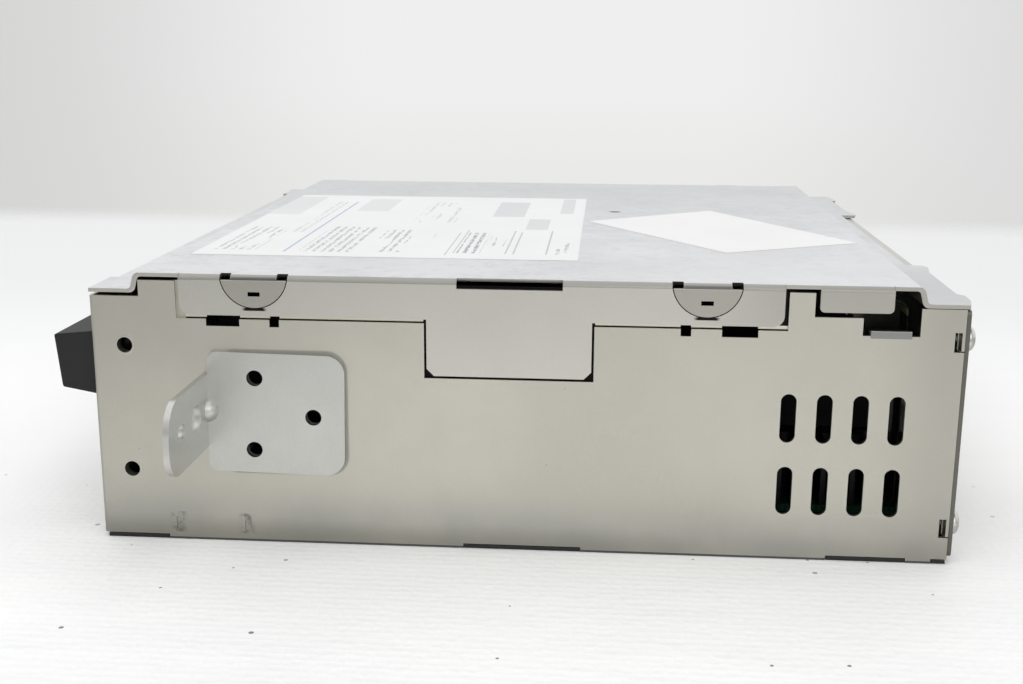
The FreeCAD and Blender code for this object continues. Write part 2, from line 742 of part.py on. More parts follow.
def front_wall_tools():
    """Disc opening, button hole, screw holes and door pin holes of the front wall."""
    inner = FRONT + SHEET + 4
    half = SLOT_HEIGHT / 2 + 1.0
    tools = [box(FRONT - 1, FRONT + SHEET + 0.5, -SLOT_HALF_WIDTH - 1, SLOT_HALF_WIDTH + 1,
                 SLOT_CENTRE_HEIGHT - half, SLOT_CENTRE_HEIGHT + half)]
    tools.append(rod("x", BUTTON_STEM_RADIUS + STEM_HOLE_GAP, FRONT - 1, inner, BUTTON_Y,
                     SLOT_CENTRE_HEIGHT))
    for y in NOSE_BOSS_Y:
        tools += [rod("x", SCREW_HOLE_RADIUS, FRONT - 1, inner, side * y, SLOT_CENTRE_HEIGHT)
                  for side in (-1, 1)]
    tools += [rod("x", SCREW_HOLE_RADIUS, FRONT + SHEET - 0.6, inner, y, z) for y, z in front_board_places()]
    pin = DOOR_PIN_RADIUS + RUNNING_GAP
    reach = SLOT_HALF_WIDTH + EAR_INSET + SHEET + 1
    tools.append(rod("y", pin, -reach, reach, from_front(DOOR_AXIS_BACK), DOOR_AXIS_HEIGHT))
    return tools


def chassis_frame():
    """Front and side walls folded from one sheet."""
    outer = box(FRONT, REAR, LEFT, -LEFT, WALL_FOOT, WALL_TOP)
    inner = box(FRONT + SHEET, REAR + 1, LEFT + SHEET, -LEFT - SHEET, WALL_FOOT - 1, WALL_TOP + 1)
    frame = outer.cut(inner)
    frame = fillet_where(frame, CORNER_RADIUS, lambda p, q: along("z", p, q) and near(p.x, FRONT))
    frame = fillet_where(frame, max(CORNER_RADIUS - SHEET, 0.2),
                         lambda p, q: along("z", p, q) and near(p.x, FRONT + SHEET))
    front_top = box(FRONT - 1, FRONT + SHEET + 1, LEFT - 1, -LEFT + 1, SHELF_WALL_TOP, COVER_TOP)
    frame = cut(frame, both_sides(recess_tools()) + [front_top])
    frame = fuse([frame] + both_sides([recess_backing()] + latch_faces() + wall_additions())
                 + front_wall_additions())
    tools = both_sides(wall_cuts() + thread_hole_tools() + dimple_tools()) + front_wall_tools()
    kept_tab = both_sides([box(from_front(BENT_TAB_START), from_front(BENT_TAB_END), LEFT - 1,
                               LEFT + BENT_TAB_DEPTH + 1, BENT_TAB_ROOT - 1, BENT_TAB_ROOT + 1)])
    trimmed = cut(frame, tools)
    screw_holes = [rod("x", SCREW_HOLE_RADIUS, REAR - 2, REAR + 1, y, z) for y, z in rear_screw_places()]
    return cut(fuse([trimmed] + [frame.common(tab) for tab in kept_tab]), screw_holes)


def cover_sheet():
    """Raised middle with a lower shelf at the front and the rear, as one bent strip."""
    run = COVER_STEP_RUN
    slant = SHEET * (1 + run / SHELF_DROP / 2)
    low = SHELF_TOP - SHEET
    front_low = from_front(COVER_FRONT_STEP - run)
    front_high = from_front(COVER_FRONT_STEP)
    rear_high = from_front(COVER_REAR_STEP)
    rear_low = from_front(COVER_REAR_STEP + run)
    front_end = from_front(COVER_FRONT_EDGE - COVER_FRONT_EAR)
    rear_end = from_front(COVER_REAR_EDGE + COVER_REAR_EAR)
    outer = [(front_end, SHELF_TOP), (front_low, SHELF_TOP), (front_high, COVER_TOP)]
    outer += [(rear_high, COVER_TOP), (rear_low, SHELF_TOP), (rear_end, SHELF_TOP)]
    inner = [(rear_end, low), (rear_low - slant, low), (rear_high - slant, COVER_TOP - SHEET)]
    inner += [(front_high + slant, COVER_TOP - SHEET), (front_low + slant, low), (front_end, low)]
    sheet = profile_y(outer + inner, LEFT + 0.2, -LEFT - 0.2)
    bend = COVER_BEND_RADIUS
    fold = bend - SHEET
    sheet = fillet_where(sheet, bend, lambda p, q: along("y", p, q) and near(p.z, COVER_TOP))
    sheet = fillet_where(sheet, fold, lambda p, q: along("y", p, q) and near(p.z, COVER_TOP - SHEET))
    sheet = fillet_where(sheet, fold, lambda p, q: along("y", p, q) and near(p.z, SHELF_TOP)
                         and (near(p.x, front_low) or near(p.x, rear_low)))
    return fillet_where(sheet, bend, lambda p, q: along("y", p, q) and near(p.z, low)
                        and (near(p.x, front_low + slant) or near(p.x, rear_low - slant)))


def cover_plan_cuts():
    """Leaves the corner ears and takes back the edges between them."""
    front_ear_y = -LEFT - COVER_FRONT_EAR_WIDTH
    rear_ear_y = -LEFT - COVER_REAR_EAR_WIDTH
    low = SHELF_TOP - 2 * SHEET
    tools = [box(FRONT - 9, from_front(COVER_FRONT_EDGE), -front_ear_y, front_ear_y, low, COVER_TOP)]
    tools.append(box(from_front(COVER_REAR_EDGE), REAR + 9, -rear_ear_y, rear_ear_y, low, COVER_TOP))
    edge = [(from_front(x), LEFT + y) for x, y in COVER_REAR_EAR_EDGE]
    edge = [(edge[0][0], LEFT - 1)] + edge + [(REAR + 9, edge[-1][1]), (REAR + 9, LEFT - 1)]
    return tools + both_sides([profile_z(edge, low, COVER_TOP)])


def bend_strip(x0, x1, bottom):
    """Rounded bend from the cover's top down to a skirt at the left side."""
    blank = box(x0, x1, LEFT, LEFT + 4, bottom, COVER_TOP)
    blank = blank.cut(box(x0 - 1, x1 + 1, LEFT + SHEET, LEFT + 5, bottom - 1, COVER_TOP - SHEET))
    blank = fillet_where(blank, BEND_RADIUS, lambda p, q: along("x", p, q) and near(p.y, LEFT)
                         and near(p.z, COVER_TOP))
    return fillet_where(blank, max(BEND_RADIUS - SHEET, 0.2), lambda p, q: along("x", p, q)
                        and near(p.y, LEFT + SHEET) and near(p.z, COVER_TOP - SHEET))


def rounded_skirt(start, end, bottom, radius):
    strip = bend_strip(from_front(start), from_front(end), bottom)
    return fillet_where(strip, radius, lambda p, q: along("y", p, q) and near(p.z, bottom))


def skirt_tongue():
    x0 = from_front(TONGUE_START)
    x1 = from_front(TONGUE_END)
    c = TONGUE_CHAMFER
    outline = [(x0, SKIRT_BOTTOM + 1), (x0, TONGUE_BOTTOM + c), (x0 + c, TONGUE_BOTTOM)]
    outline += [(x1 - c, TONGUE_BOTTOM), (x1, TONGUE_BOTTOM + c), (x1, SKIRT_BOTTOM + 1)]
    return profile_y(outline, LEFT, LEFT + SHEET)


def bend_opening(x0, x1, depth, bottom):
    """Opening in the cover's bend, undercut so that its back edge leans outwards."""
    back = LEFT + depth
    outline = [(LEFT - 1, bottom), (LEFT - 1, COVER_TOP + 1), (back, COVER_TOP + 1), (back, COVER_TOP),
               (back + OPENING_UNDERCUT, COVER_TOP - SHEET - 0.1), (back + OPENING_UNDERCUT, bottom)]
    return profile_x(outline, x0, x1)


def latch_window_tools():
    """Half-round windows, the bend notches beside them and the pry slot."""
    tools = []
    out = LEFT - 1
    for centre in LATCH_CENTRES:
        x = from_front(centre)
        window = rod("y", LATCH_RADIUS, out, LEFT + SHEET, x, LATCH_CENTRE_HEIGHT)
        above = box(x - 9, x + 9, out - 1, LEFT + 2, LATCH_TOP + 0.05, COVER_TOP + 9)
        tools.append(window.cut(above))
        for side in (-1, 1):
            inner = x + side * LATCH_NOTCH_INNER
            outer = x + side * (LATCH_RADIUS - 0.1)
            tools.append(bend_opening(min(inner, outer), max(inner, outer), LATCH_NOTCH_DEPTH, LATCH_TOP))
    tools.append(bend_opening(from_front(PRY_SLOT_SPAN[0]), from_front(PRY_SLOT_SPAN[1]), PRY_SLOT_DEPTH,
                              PRY_SLOT_BOTTOM))
    return tools


def top_cover():
    """Clip-on lid: raised middle, shelves, side skirts with tongue and latch windows."""
    strips = [
        rounded_skirt(SKIRT_START, SKIRT_END, SKIRT_BOTTOM, SKIRT_CORNER),
        rounded_skirt(REAR_SKIRT_START, REAR_SKIRT_END, REAR_SKIRT_BOTTOM, REAR_SKIRT_CORNER),
        skirt_tongue(),
    ]
    edge_tools = []
    for start, end in ((SKIRT_START, SKIRT_END), (REAR_SKIRT_START, REAR_SKIRT_END)):
        edge_tools.append(box(from_front(start), from_front(end), LEFT - 1, LEFT + 2.5, COVER_TOP - 2,
                              COVER_TOP + 1))
    sheet = cut(cover_sheet(), cover_plan_cuts() + both_sides(edge_tools))
    lid = fuse([sheet] + both_sides(strips))
    return cut(lid, both_sides(latch_window_tools()))


def bottom_flange_side():
    """Upturned left flange of the bottom cover, notched at the wall's dimples."""
    gap = 0.15
    y0 = LEFT + SHEET + gap
    flange = box(FRONT + 4, REAR - 4, y0, y0 + SHEET, 0, 7.0)
    holes = [obround_y(from_front(x), DIMPLE_HEIGHT, DIMPLE_WIDTH + 0.5, DIMPLE_LENGTH + 0.5, y0 - 1, y0 + 2)
             for x in DIMPLE_X]
    return cut(flange, holes)


def bottom_cover():
    """Pan that closes the case below, with raised seats for the main board."""
    gap = 0.15
    edge = SHEET + gap
    plate = box(FRONT + edge, REAR - 0.2, LEFT + edge, -LEFT - edge, 0, SHEET)
    tabs = []
    for start, end in foot_recess_spans():
        x0 = max(from_front(start) + gap, FRONT + edge)
        x1 = min(from_front(end) - gap, REAR - 0.2)
        tabs.append(box(x0, x1, LEFT + 0.1, LEFT + edge + 1, 0, min(SHEET, WALL_FOOT - 0.1)))
    bosses = []
    wells = []
    for x, y in board_screw_places():
        bosses.append(rod("z", BOARD_BOSS_RADIUS, 0, BOARD_HEIGHT, x, y))
        wells.append(rod("z", BOARD_BOSS_RADIUS - SHEET, -1, BOARD_HEIGHT - SHEET, x, y))
        wells.append(rod("z", SCREW_HOLE_RADIUS, 0, BOARD_HEIGHT + 1, x, y))
    pan = fuse([plate] + both_sides(tabs + [bottom_flange_side()]) + bosses)
    post_holes = [rod("z", POST_RIVET_RADIUS, -1, SHEET + 1, x, y) for x, y in damper_places()]
    return cut(pan, wells + post_holes)


def socket_places():
    """Each rear socket with the height of its underside and its depth inside the case."""
    places = [(size, BOARD_TOP, SOCKET_DEPTH_INSIDE) for size in
              (POWER_SOCKET, VIDEO_SOCKET, CONTROL_SOCKET)]
    return places + [(UPPER_SOCKET, UPPER_SOCKET_BOTTOM, RISER_BOARD_SETBACK)]


def rear_plate():
    """Separate rear wall with its socket openings and a folded top edge."""
    x0 = REAR_PLATE_X
    x1 = x0 + SHEET
    top = SHELF_TOP - SHEET - 2 * REAR_SEAT_GAP
    plate = box(x0, x1, LEFT + 0.1, -LEFT - 0.1, REAR_PLATE_BOTTOM, top)
    plate = fillet_where(plate, 1.0, lambda p, q: along("x", p, q))
    inside = -LEFT - REAR_FLANGE_WIDTH - 6
    fold = box(x0 - FLANGE_DEPTH, x1, -inside, inside, top - SHEET, top)
    tools = []
    for size, bottom, _ in socket_places():
        y, width, height = size[:3]
        half = width / 2 + SOCKET_GAP
        tools.append(box(x0 - 1, x1 + 1, y - half, y + half, bottom - SOCKET_GAP,
                         bottom + height + SOCKET_GAP))
    tools += [rod("x", SCREW_HOLE_RADIUS, x0 - 1, x1 + 1, y, z) for y, z in rear_screw_places()]
    for column in range(REAR_VENT_COUNT):
        y = REAR_VENT_FIRST_Y + REAR_VENT_PITCH * column
        tools.append(obround("x", y, REAR_VENT_HEIGHT, VENT_WIDTH, REAR_VENT_LENGTH, x0 - 1, x1 + 1))
    return cut(fuse([plate, fold]), tools)


def rear_plate_screws():
    x = REAR_PLATE_X + SHEET
    return group([aimed(pan_screw(6.0), vec(-1, 0, 0), vec(x, y, z)) for y, z in rear_screw_places()])


def bracket():
    """Welded pad with three holes and a slotted ear folded out from its front edge."""
    y0 = LEFT - BRACKET_SHEET
    pad = box(0, BRACKET_LENGTH, y0, LEFT, 0, BRACKET_HEIGHT)
    pad = fillet_where(pad, 4.0, lambda p, q: along("y", p, q) and near(p.x, BRACKET_LENGTH))
    pad = fillet_where(pad, 1.6, lambda p, q: along("y", p, q) and near(p.x, 0))
    ear_y = LEFT - BRACKET_EAR_REACH
    ear = box(-BRACKET_SHEET, 0, ear_y, y0 + BRACKET_SHEET / 2, BRACKET_EAR_BOTTOM, BRACKET_EAR_TOP)
    ear = fillet_where(ear, min(BRACKET_EAR_CORNER, (BRACKET_EAR_TOP - BRACKET_EAR_BOTTOM) * 0.45),
                       lambda p, q: along("x", p, q) and near(p.y, ear_y))
    bend = rod("z", BRACKET_SHEET, BRACKET_EAR_BOTTOM, BRACKET_EAR_TOP, 0, LEFT)
    bend = bend.common(box(-BRACKET_SHEET, 0.2, y0, LEFT, 0, BRACKET_HEIGHT))
    gusset = Part.makeSphere(2.6, vec(-0.2, y0 + 0.5, (BRACKET_EAR_BOTTOM + BRACKET_EAR_TOP) / 2))
    gusset = gusset.common(box(0, 4, y0 - 4, y0 + 0.2, 0, BRACKET_HEIGHT))
    tools = [rod("y", BRACKET_HOLE_RADIUS, y0 - 1, LEFT + 1, x, z) for x, z in BRACKET_HOLES]
    x0 = -BRACKET_SHEET - 1
    tools.append(rod("x", EAR_HOLE_RADIUS, x0, 1, LEFT - EAR_HOLE_REACH, EAR_HOLE_HEIGHT))
    width, height = EAR_SLOT_SIZE
    tools.append(obround("x", LEFT - EAR_SLOT_REACH, EAR_HOLE_HEIGHT, width, height, x0, 1))
    return cut(fuse([pad, ear, bend, gusset]), tools)


def left_bracket():
    shape = bracket()
    shape.translate(vec(from_front(BRACKET_START), 0, BRACKET_BOTTOM))
    centre = vec(from_front(BRACKET_START), LEFT, BRACKET_BOTTOM)
    shape.rotate(centre, vec(0, 1, 0), BRACKET_TILT)
    return shape


def right_bracket():
    return mirrored(left_bracket())


# Front pieces


def nose_outline(inset):
    """Side view of the nose, shrunk by an inset on its outer faces."""
    face_top = FRONT - NOSE_DEPTH + inset
    face_bottom = face_top + NOSE_LEAN
    return [
        (FRONT, NOSE_BOTTOM_AT_WALL + inset),
        (FRONT, NOSE_TOP_AT_WALL - inset),
        (face_top, NOSE_TOP_AT_FACE - inset),
        (face_bottom, NOSE_BOTTOM_AT_FACE + inset),
    ]


def nose_shell():
    """Tapered hollow moulding, open towards the front wall."""
    outer = profile_y(nose_outline(0), -NOSE_HALF_WIDTH, NOSE_HALF_WIDTH)
    outer = fillet_where(outer, 0.8, lambda p, q: p.x < FRONT - 1 and q.x < FRONT - 1)
    half = NOSE_HALF_WIDTH - NOSE_WALL
    return outer.cut(profile_y(nose_outline(NOSE_WALL), -half, half))


def slot_nose():
    """Front moulding with the disc slot, its tunnel walls and the screw bosses."""
    half_slot = SLOT_HEIGHT / 2
    face = FRONT - NOSE_DEPTH
    inside = face + NOSE_WALL
    wall = 1.4
    low = SLOT_CENTRE_HEIGHT - half_slot
    high = SLOT_CENTRE_HEIGHT + half_slot
    pieces = [nose_shell()]
    tunnel = box(inside, FRONT, -SLOT_HALF_WIDTH - wall, SLOT_HALF_WIDTH + wall, low - wall, high + wall)
    pieces.append(tunnel)
    for y in NOSE_BOSS_Y:
        for side in (-1, 1):
            pieces.append(rod("x", NOSE_BOSS_RADIUS, inside - 0.5, FRONT, side * y, SLOT_CENTRE_HEIGHT))
    body = fuse(pieces)
    flare = 1.2
    mouth_points = [(face - 1, low - flare - 1), (face - 1, high + flare + 1), (face + 2.2, high),
                    (face + 2.2, low)]
    tools = [box(face - 1, FRONT + 1, -SLOT_HALF_WIDTH, SLOT_HALF_WIDTH, low, high)]
    tools.append(profile_y(mouth_points, -SLOT_HALF_WIDTH, SLOT_HALF_WIDTH))
    gap = 0.3
    tools.append(box(face - 1, inside + 2, BUTTON_Y - BUTTON_WIDTH / 2 - gap,
                     BUTTON_Y + BUTTON_WIDTH / 2 + gap,
                     SLOT_CENTRE_HEIGHT - BUTTON_HEIGHT / 2 - gap,
                     SLOT_CENTRE_HEIGHT + BUTTON_HEIGHT / 2 + gap))
    for y in NOSE_BOSS_Y:
        tools += [rod("x", SCREW_HOLE_RADIUS, FRONT - 6, FRONT + 1, side * y, SLOT_CENTRE_HEIGHT)
                  for side in (-1, 1)]
    return cut(body, tools)


def slot_door():
    """Flap that hangs behind the slot on two pins and swings inwards."""
    x = from_front(DOOR_AXIS_BACK)
    half = SLOT_HALF_WIDTH + 0.6
    barrel = rod("y", DOOR_PIN_RADIUS + 0.6, -half, half, x, DOOR_AXIS_HEIGHT)
    x0 = x - DOOR_PLATE / 2
    plate = box(x0, x0 + DOOR_PLATE, -half, half, DOOR_AXIS_HEIGHT - DOOR_REACH, DOOR_AXIS_HEIGHT)
    reach = SLOT_HALF_WIDTH + EAR_INSET + SHEET + 0.6
    pin = rod("y", DOOR_PIN_RADIUS, -reach, reach, x, DOOR_AXIS_HEIGHT)
    return fuse([barrel, plate, pin])


def ring_spring(axis, start, pitch, count, a, b, radius, wire):
    """Coil spring along x or y, made of rings joined by short links."""
    along_axis = vec(1, 0, 0) if axis == "x" else vec(0, 1, 0)
    pieces = []
    for index in range(count):
        reach = start + pitch * index
        centre = vec(reach, a, b) if axis == "x" else vec(a, reach, b)
        pieces.append(Part.makeTorus(radius, wire / 2, centre, along_axis))
        if index:
            pieces.append(rod(axis, wire / 2 - 0.03, reach - pitch, reach, a, b + radius * (-1) ** index))
    return pieces


def door_spring():
    """Torsion spring beyond the ear on the door's left pin, one leg resting on the front wall."""
    x = from_front(DOOR_AXIS_BACK)
    y1 = -SLOT_HALF_WIDTH - EAR_INSET - SHEET - BODY_GAP - DOOR_SPRING_WIRE / 2
    radius = DOOR_PIN_RADIUS + DOOR_SPRING_WIRE / 2 + 0.7
    start = y1 - DOOR_SPRING_PITCH * (DOOR_SPRING_TURNS - 1)
    coil = ring_spring("y", start, DOOR_SPRING_PITCH, DOOR_SPRING_TURNS, x, DOOR_AXIS_HEIGHT, radius,
                       DOOR_SPRING_WIRE)
    leg = rod("z", DOOR_SPRING_WIRE / 2 - 0.03, DOOR_AXIS_HEIGHT, DOOR_AXIS_HEIGHT + DOOR_SPRING_LEG,
              x - radius, y1)
    return fuse(coil + [leg])


def button_front():
    return FRONT - NOSE_DEPTH - BUTTON_PROUD


def collar_back():
    """Rear face of the button's collar, which rests behind the nose's face."""
    return FRONT - NOSE_DEPTH + NOSE_WALL + NOSE_LEAN / 2 + BODY_GAP + 0.4 + BUTTON_COLLAR


def eject_button():
    """Key cap with a rear collar that keeps it behind the nose, and a stem to the switch."""
    x0 = button_front()
    x1 = collar_back()
    half_w = BUTTON_WIDTH / 2
    half_h = BUTTON_HEIGHT / 2
    z = SLOT_CENTRE_HEIGHT
    cap = box(x0, x1, BUTTON_Y - half_w, BUTTON_Y + half_w, z - half_h, z + half_h)
    cap = fillet_where(cap, 0.6, lambda p, q: near(p.x, x0) or near(q.x, x0))
    collar = box(x1 - BUTTON_COLLAR, x1, BUTTON_Y - half_w - 0.2, BUTTON_Y + half_w + 0.2, z - half_h - 0.9,
                 z + half_h + 0.9)
    stem = rod("x", BUTTON_STEM_RADIUS, x1 - BUTTON_COLLAR,
               switch_front() - BUTTON_TRAVEL - SWITCH_CLEARANCE,
               BUTTON_Y, z)
    return fuse([cap, collar, stem])


def front_board_x():
    return FRONT + SHEET + FRONT_BOARD_STANDOFF


def switch_front():
    """Tip of the eject switch's plunger, which faces the button."""
    return front_board_x() - SWITCH_DEPTH - SWITCH_PLUNGER


def eject_button_spring():
    """Coil spring round the stem, between the front wall and the button's collar."""
    radius = BUTTON_STEM_RADIUS + BUTTON_SPRING_WIRE / 2 + 0.35
    start = collar_back() + BUTTON_SPRING_WIRE / 2 + RUNNING_GAP
    end = FRONT - BUTTON_SPRING_WIRE / 2 - RUNNING_GAP
    pitch = (end - start) / (BUTTON_SPRING_TURNS - 1)
    return fuse(ring_spring("x", start, pitch, BUTTON_SPRING_TURNS, BUTTON_Y, SLOT_CENTRE_HEIGHT, radius,
                            BUTTON_SPRING_WIRE))


def front_board():
    """Small board behind the front wall that carries the eject switch."""
    x0 = front_board_x()
    half = FRONT_BOARD_WIDTH / 2
    board = box(x0, x0 + BOARD_THICKNESS, BUTTON_Y - half, BUTTON_Y + half, FRONT_BOARD_BOTTOM,
                FRONT_BOARD_TOP)
    return cut(board, [rod("x", SCREW_HOLE_RADIUS, x0 - 1, x0 + 3, y, z) for y, z in front_board_places()])


def eject_switch():
    """Push switch on the front board, its plunger facing the button's stem."""
    x1 = front_board_x()
    half = SWITCH_SIZE / 2
    case = box(x1 - SWITCH_DEPTH, x1, BUTTON_Y - half, BUTTON_Y + half, SLOT_CENTRE_HEIGHT - half,
               SLOT_CENTRE_HEIGHT + half)
    plunger = rod("x", 1.2, switch_front(), x1 - SWITCH_DEPTH + 0.2, BUTTON_Y, SLOT_CENTRE_HEIGHT)
    return fuse([case, plunger])


# Electronics


def board_screw_places():
    return [(from_front(x), side * y) for x, y in BOARD_BOSS_PLACES for side in (-1, 1)]


def damper_places():
    return [(from_front(x), side * y) for x, y in (FRONT_DAMPER, REAR_DAMPER) for side in (-1, 1)]


def main_board():
    """Printed circuit board on the bottom cover's seats, cleared round the deck posts."""
    board = box(from_front(BOARD_FRONT), REAR - BOARD_REAR_MARGIN, -BOARD_HALF_WIDTH, BOARD_HALF_WIDTH,
                BOARD_HEIGHT, BOARD_TOP)
    tools = [rod("z", SCREW_HOLE_RADIUS, 0, 20, x, y) for x, y in board_screw_places()]
    tools += [rod("z", POST_RADIUS + 1.0, 0, 20, x, y) for x, y in damper_places()]
    return cut(board, tools)


def short_screws():
    """The identical short screws of the boards, the traverse and the nose."""
    length = SHORT_SCREW_LENGTH
    screws = [aimed(pan_screw(length), vec(0, 0, -1), vec(x, y, BOARD_TOP)) for x, y in board_screw_places()]
    screws += [aimed(pan_screw(length), vec(0, 0, -1), vec(x, y, TRAVERSE_TOP))
               for x, y in traverse_screw_places()]
    x = front_board_x() + BOARD_THICKNESS
    screws += [aimed(pan_screw(length), vec(-1, 0, 0), vec(x, y, z)) for y, z in front_board_places()]
    x = FRONT + SHEET
    screws += [aimed(pan_screw(length), vec(-1, 0, 0), vec(x, side * y, SLOT_CENTRE_HEIGHT))
               for y in NOSE_BOSS_Y for side in (-1, 1)]
    return group(screws)


def chip(x, y, length, width, height):
    """Flat chip with a comb of legs on its two long sides."""
    z0 = BOARD_TOP
    body = box(x, x + length, y, y + width, z0 + 0.2, z0 + height)
    legs = []
    count = int(length / 1.6)
    for index in range(count):
        leg_x = x + length * (index + 0.5) / count
        legs.append(box(leg_x - 0.3, leg_x + 0.3, y - 1.0, y + width + 1.0, z0, z0 + 0.35))
    return fuse([body] + legs)


def board_chips():
    """Decoder, drive controller, memories and audio converter on the main board."""
    return group([chip(from_front(x), y, length, width, height)
                  for x, y, length, width, height in BOARD_CHIPS])


def capacitors():
    """Upright electrolytic capacitors near the power socket."""
    cans = []
    for x, y, radius, height in CAPACITORS:
        can = rod("z", radius, BOARD_TOP, BOARD_TOP + height, from_front(x), y)
        rims = [edge for edge in can.Edges if len(edge.Vertexes) == 1
                and near(edge.Vertexes[0].Z, BOARD_TOP + height)]
        cans.append(can.makeFillet(CAPACITOR_RIM_RADIUS, rims))
    return group(cans)


def shield_can():
    """Tinned shield over the tuner and video stage."""
    x0 = from_front(SHIELD_FRONT)
    x1 = x0 + SHIELD_LENGTH
    y0 = SHIELD_Y
    y1 = y0 + SHIELD_WIDTH
    top = BOARD_TOP + SHIELD_HEIGHT
    wall = SHIELD_SHEET
    can = box(x0, x1, y0, y1, BOARD_TOP, top)
    can = can.cut(box(x0 + wall, x1 - wall, y0 + wall, y1 - wall, BOARD_TOP - 1, top - wall))
    holes = [rod("z", SHIELD_HOLE_RADIUS, top - 1, top + 1,
                 x0 + SHIELD_HOLE_FIRST[0] + SHIELD_HOLE_PITCH[0] * i,
                 y0 + SHIELD_HOLE_FIRST[1] + SHIELD_HOLE_PITCH[1] * j)
             for i in range(5) for j in range(4)]
    return cut(can, holes)


def heat_sink():
    """Finned aluminium bar behind the left wall's vents."""
    x0 = from_front(HEAT_SINK_FRONT)
    x1 = x0 + HEAT_SINK_LENGTH
    y0 = -BOARD_HALF_WIDTH
    y1 = y0 + HEAT_SINK_DEPTH
    top = BOARD_TOP + HEAT_SINK_HEIGHT
    base = box(x0, x1, y1 - HEAT_SINK_BASE, y1, BOARD_TOP, top)
    fin_end = y1 - HEAT_SINK_BASE + HEAT_SINK_FIN_ROOT
    fins = []
    for index in range(HEAT_SINK_FIN_COUNT):
        fin_x = x0 + HEAT_SINK_FIN_PITCH * index
        fins.append(box(fin_x, fin_x + HEAT_SINK_FIN, y0, fin_end, BOARD_TOP, top))
    return fuse([base] + fins)


def power_transistors():
    """Flat power parts standing against the heat sink."""
    y0 = -BOARD_HALF_WIDTH + HEAT_SINK_DEPTH
    bottom = BOARD_TOP + POWER_PART_LIFT
    parts = []
    for front in POWER_PART_FRONTS:
        x0 = from_front(front)
        body = box(x0, x0 + POWER_PART_WIDTH, y0, y0 + POWER_PART_DEPTH, bottom, bottom + POWER_PART_HEIGHT)
        legs = []
        for index in range(POWER_LEG_COUNT):
            leg_x = x0 + POWER_LEG_FIRST + POWER_LEG_PITCH * index
            legs.append(box(leg_x, leg_x + POWER_LEG_WIDTH, y0 + POWER_LEG_SETBACK,
                            y0 + POWER_LEG_SETBACK + POWER_LEG_DEPTH, BOARD_TOP, bottom + POWER_LEG_ROOT))
        parts.append(fuse([body] + legs))
    return group(parts)


def socket_housing(index):
    """Open rectangular socket shell with a keying rib, its contacts entering from the back."""
    size, bottom, depth = socket_places()[index]
    y, width, height, reach = size
    x0 = REAR_PLATE_X - depth
    x1 = REAR_PLATE_X + SHEET + reach
    shell = box(x0, x1, y - width / 2, y + width / 2, bottom, bottom + height)
    back = REAR_PLATE_X - 2.0
    inner = width / 2 - SOCKET_WALL
    cavity = box(back, x1 + 1, y - inner, y + inner, bottom + SOCKET_WALL, bottom + height - SOCKET_WALL)
    key = box(back - 0.5, x1 - 0.5, y - 1.0, y + 1.0, bottom + height - SOCKET_WALL - 1.0,
              bottom + height - SOCKET_WALL / 2)
    half = PIN_SIZE / 2
    tools = [box(x0 - 1, back + 1, py - half, py + half, pz - half, pz + half)
             for py, pz in pin_places(index)]
    return cut(fuse([shell.cut(cavity), key]), tools)


def pin_places(index):
    """Two rows of contacts, seen from the rear."""
    size, bottom = socket_places()[index][:2]
    y, width, height = size[:3]
    columns = SOCKET_COLUMN_COUNTS[index]
    pitch = (width - 2 * SOCKET_WALL) / columns
    middle = bottom + height / 2
    return [(y - pitch * (columns - 1) / 2 + pitch * column, middle + row)
            for column in range(columns) for row in (-2.2, 1.2)]


def power_connector():
    return socket_housing(0)


def video_connector():
    return socket_housing(1)


def control_connector():
    return socket_housing(2)


def upper_connector():
    return socket_housing(3)


def connector_pins():
    """Brass contacts of the rear sockets."""
    pins = []
    half = PIN_SIZE / 2
    for index, (size, _, depth) in enumerate(socket_places()):
        x0 = REAR_PLATE_X - depth
        x1 = REAR_PLATE_X + SHEET + size[3] - PIN_SETBACK
        pins += [box(x0, x1, y - half, y + half, z - half, z + half) for y, z in pin_places(index)]
    return group(pins)


def riser_board():
    """Upright board that stands on the main board and carries the upper socket."""
    x1 = REAR_PLATE_X - RISER_BOARD_SETBACK
    low, high = RISER_BOARD_SPAN
    return box(x1 - BOARD_THICKNESS, x1, low, high, BOARD_TOP, RISER_BOARD_TOP)


def bent_strip(points, thickness, radius, y0, y1):
    """Flat cable seen from the side: a path of (x, z) points with rounded corners and one thickness."""
    path = [vec(x, y0, z) for x, z in points]
    edges = []
    start = path[0]
    for before, corner, after in zip(path, path[1:], path[2:]):
        into = (corner - before).normalize()
        away = (after - corner).normalize()
        turn = into.getAngle(away)
        setback = radius * math.tan(turn / 2)
        first = corner - into * setback
        last = corner + away * setback
        bulge = (into * -1 + away).normalize()
        centre_reach = radius / math.cos(turn / 2)
        middle = corner + bulge * (centre_reach - radius)
        edges.append(Part.LineSegment(start, first).toShape())
        edges.append(Part.Arc(first, middle, last).toShape())
        start = last
    edges.append(Part.LineSegment(start, path[-1]).toShape())
    strip = Part.Wire(edges).makeOffset2D(thickness / 2, 0, False, False)
    return Part.Face(strip).extrude(vec(0, y1 - y0, 0))


def pickup_flex_cable():
    """Flat cable from the main board up to the underside of the deck, beside the pickup's opening."""
    half = FLEX_THICKNESS / 2
    x0 = from_front(PICKUP_FLEX_FRONT)
    rise = x0 + PICKUP_FLEX_FOOT
    top = rise + PICKUP_FLEX_SLANT
    points = [(x0, BOARD_TOP + half), (rise, BOARD_TOP + half), (top, DECK_BOTTOM - half),
              (top + PICKUP_FLEX_HEAD, DECK_BOTTOM - half)]
    return bent_strip(points, FLEX_THICKNESS, FLEX_BEND_RADIUS, PICKUP_FLEX_SPAN[0], PICKUP_FLEX_SPAN[1])


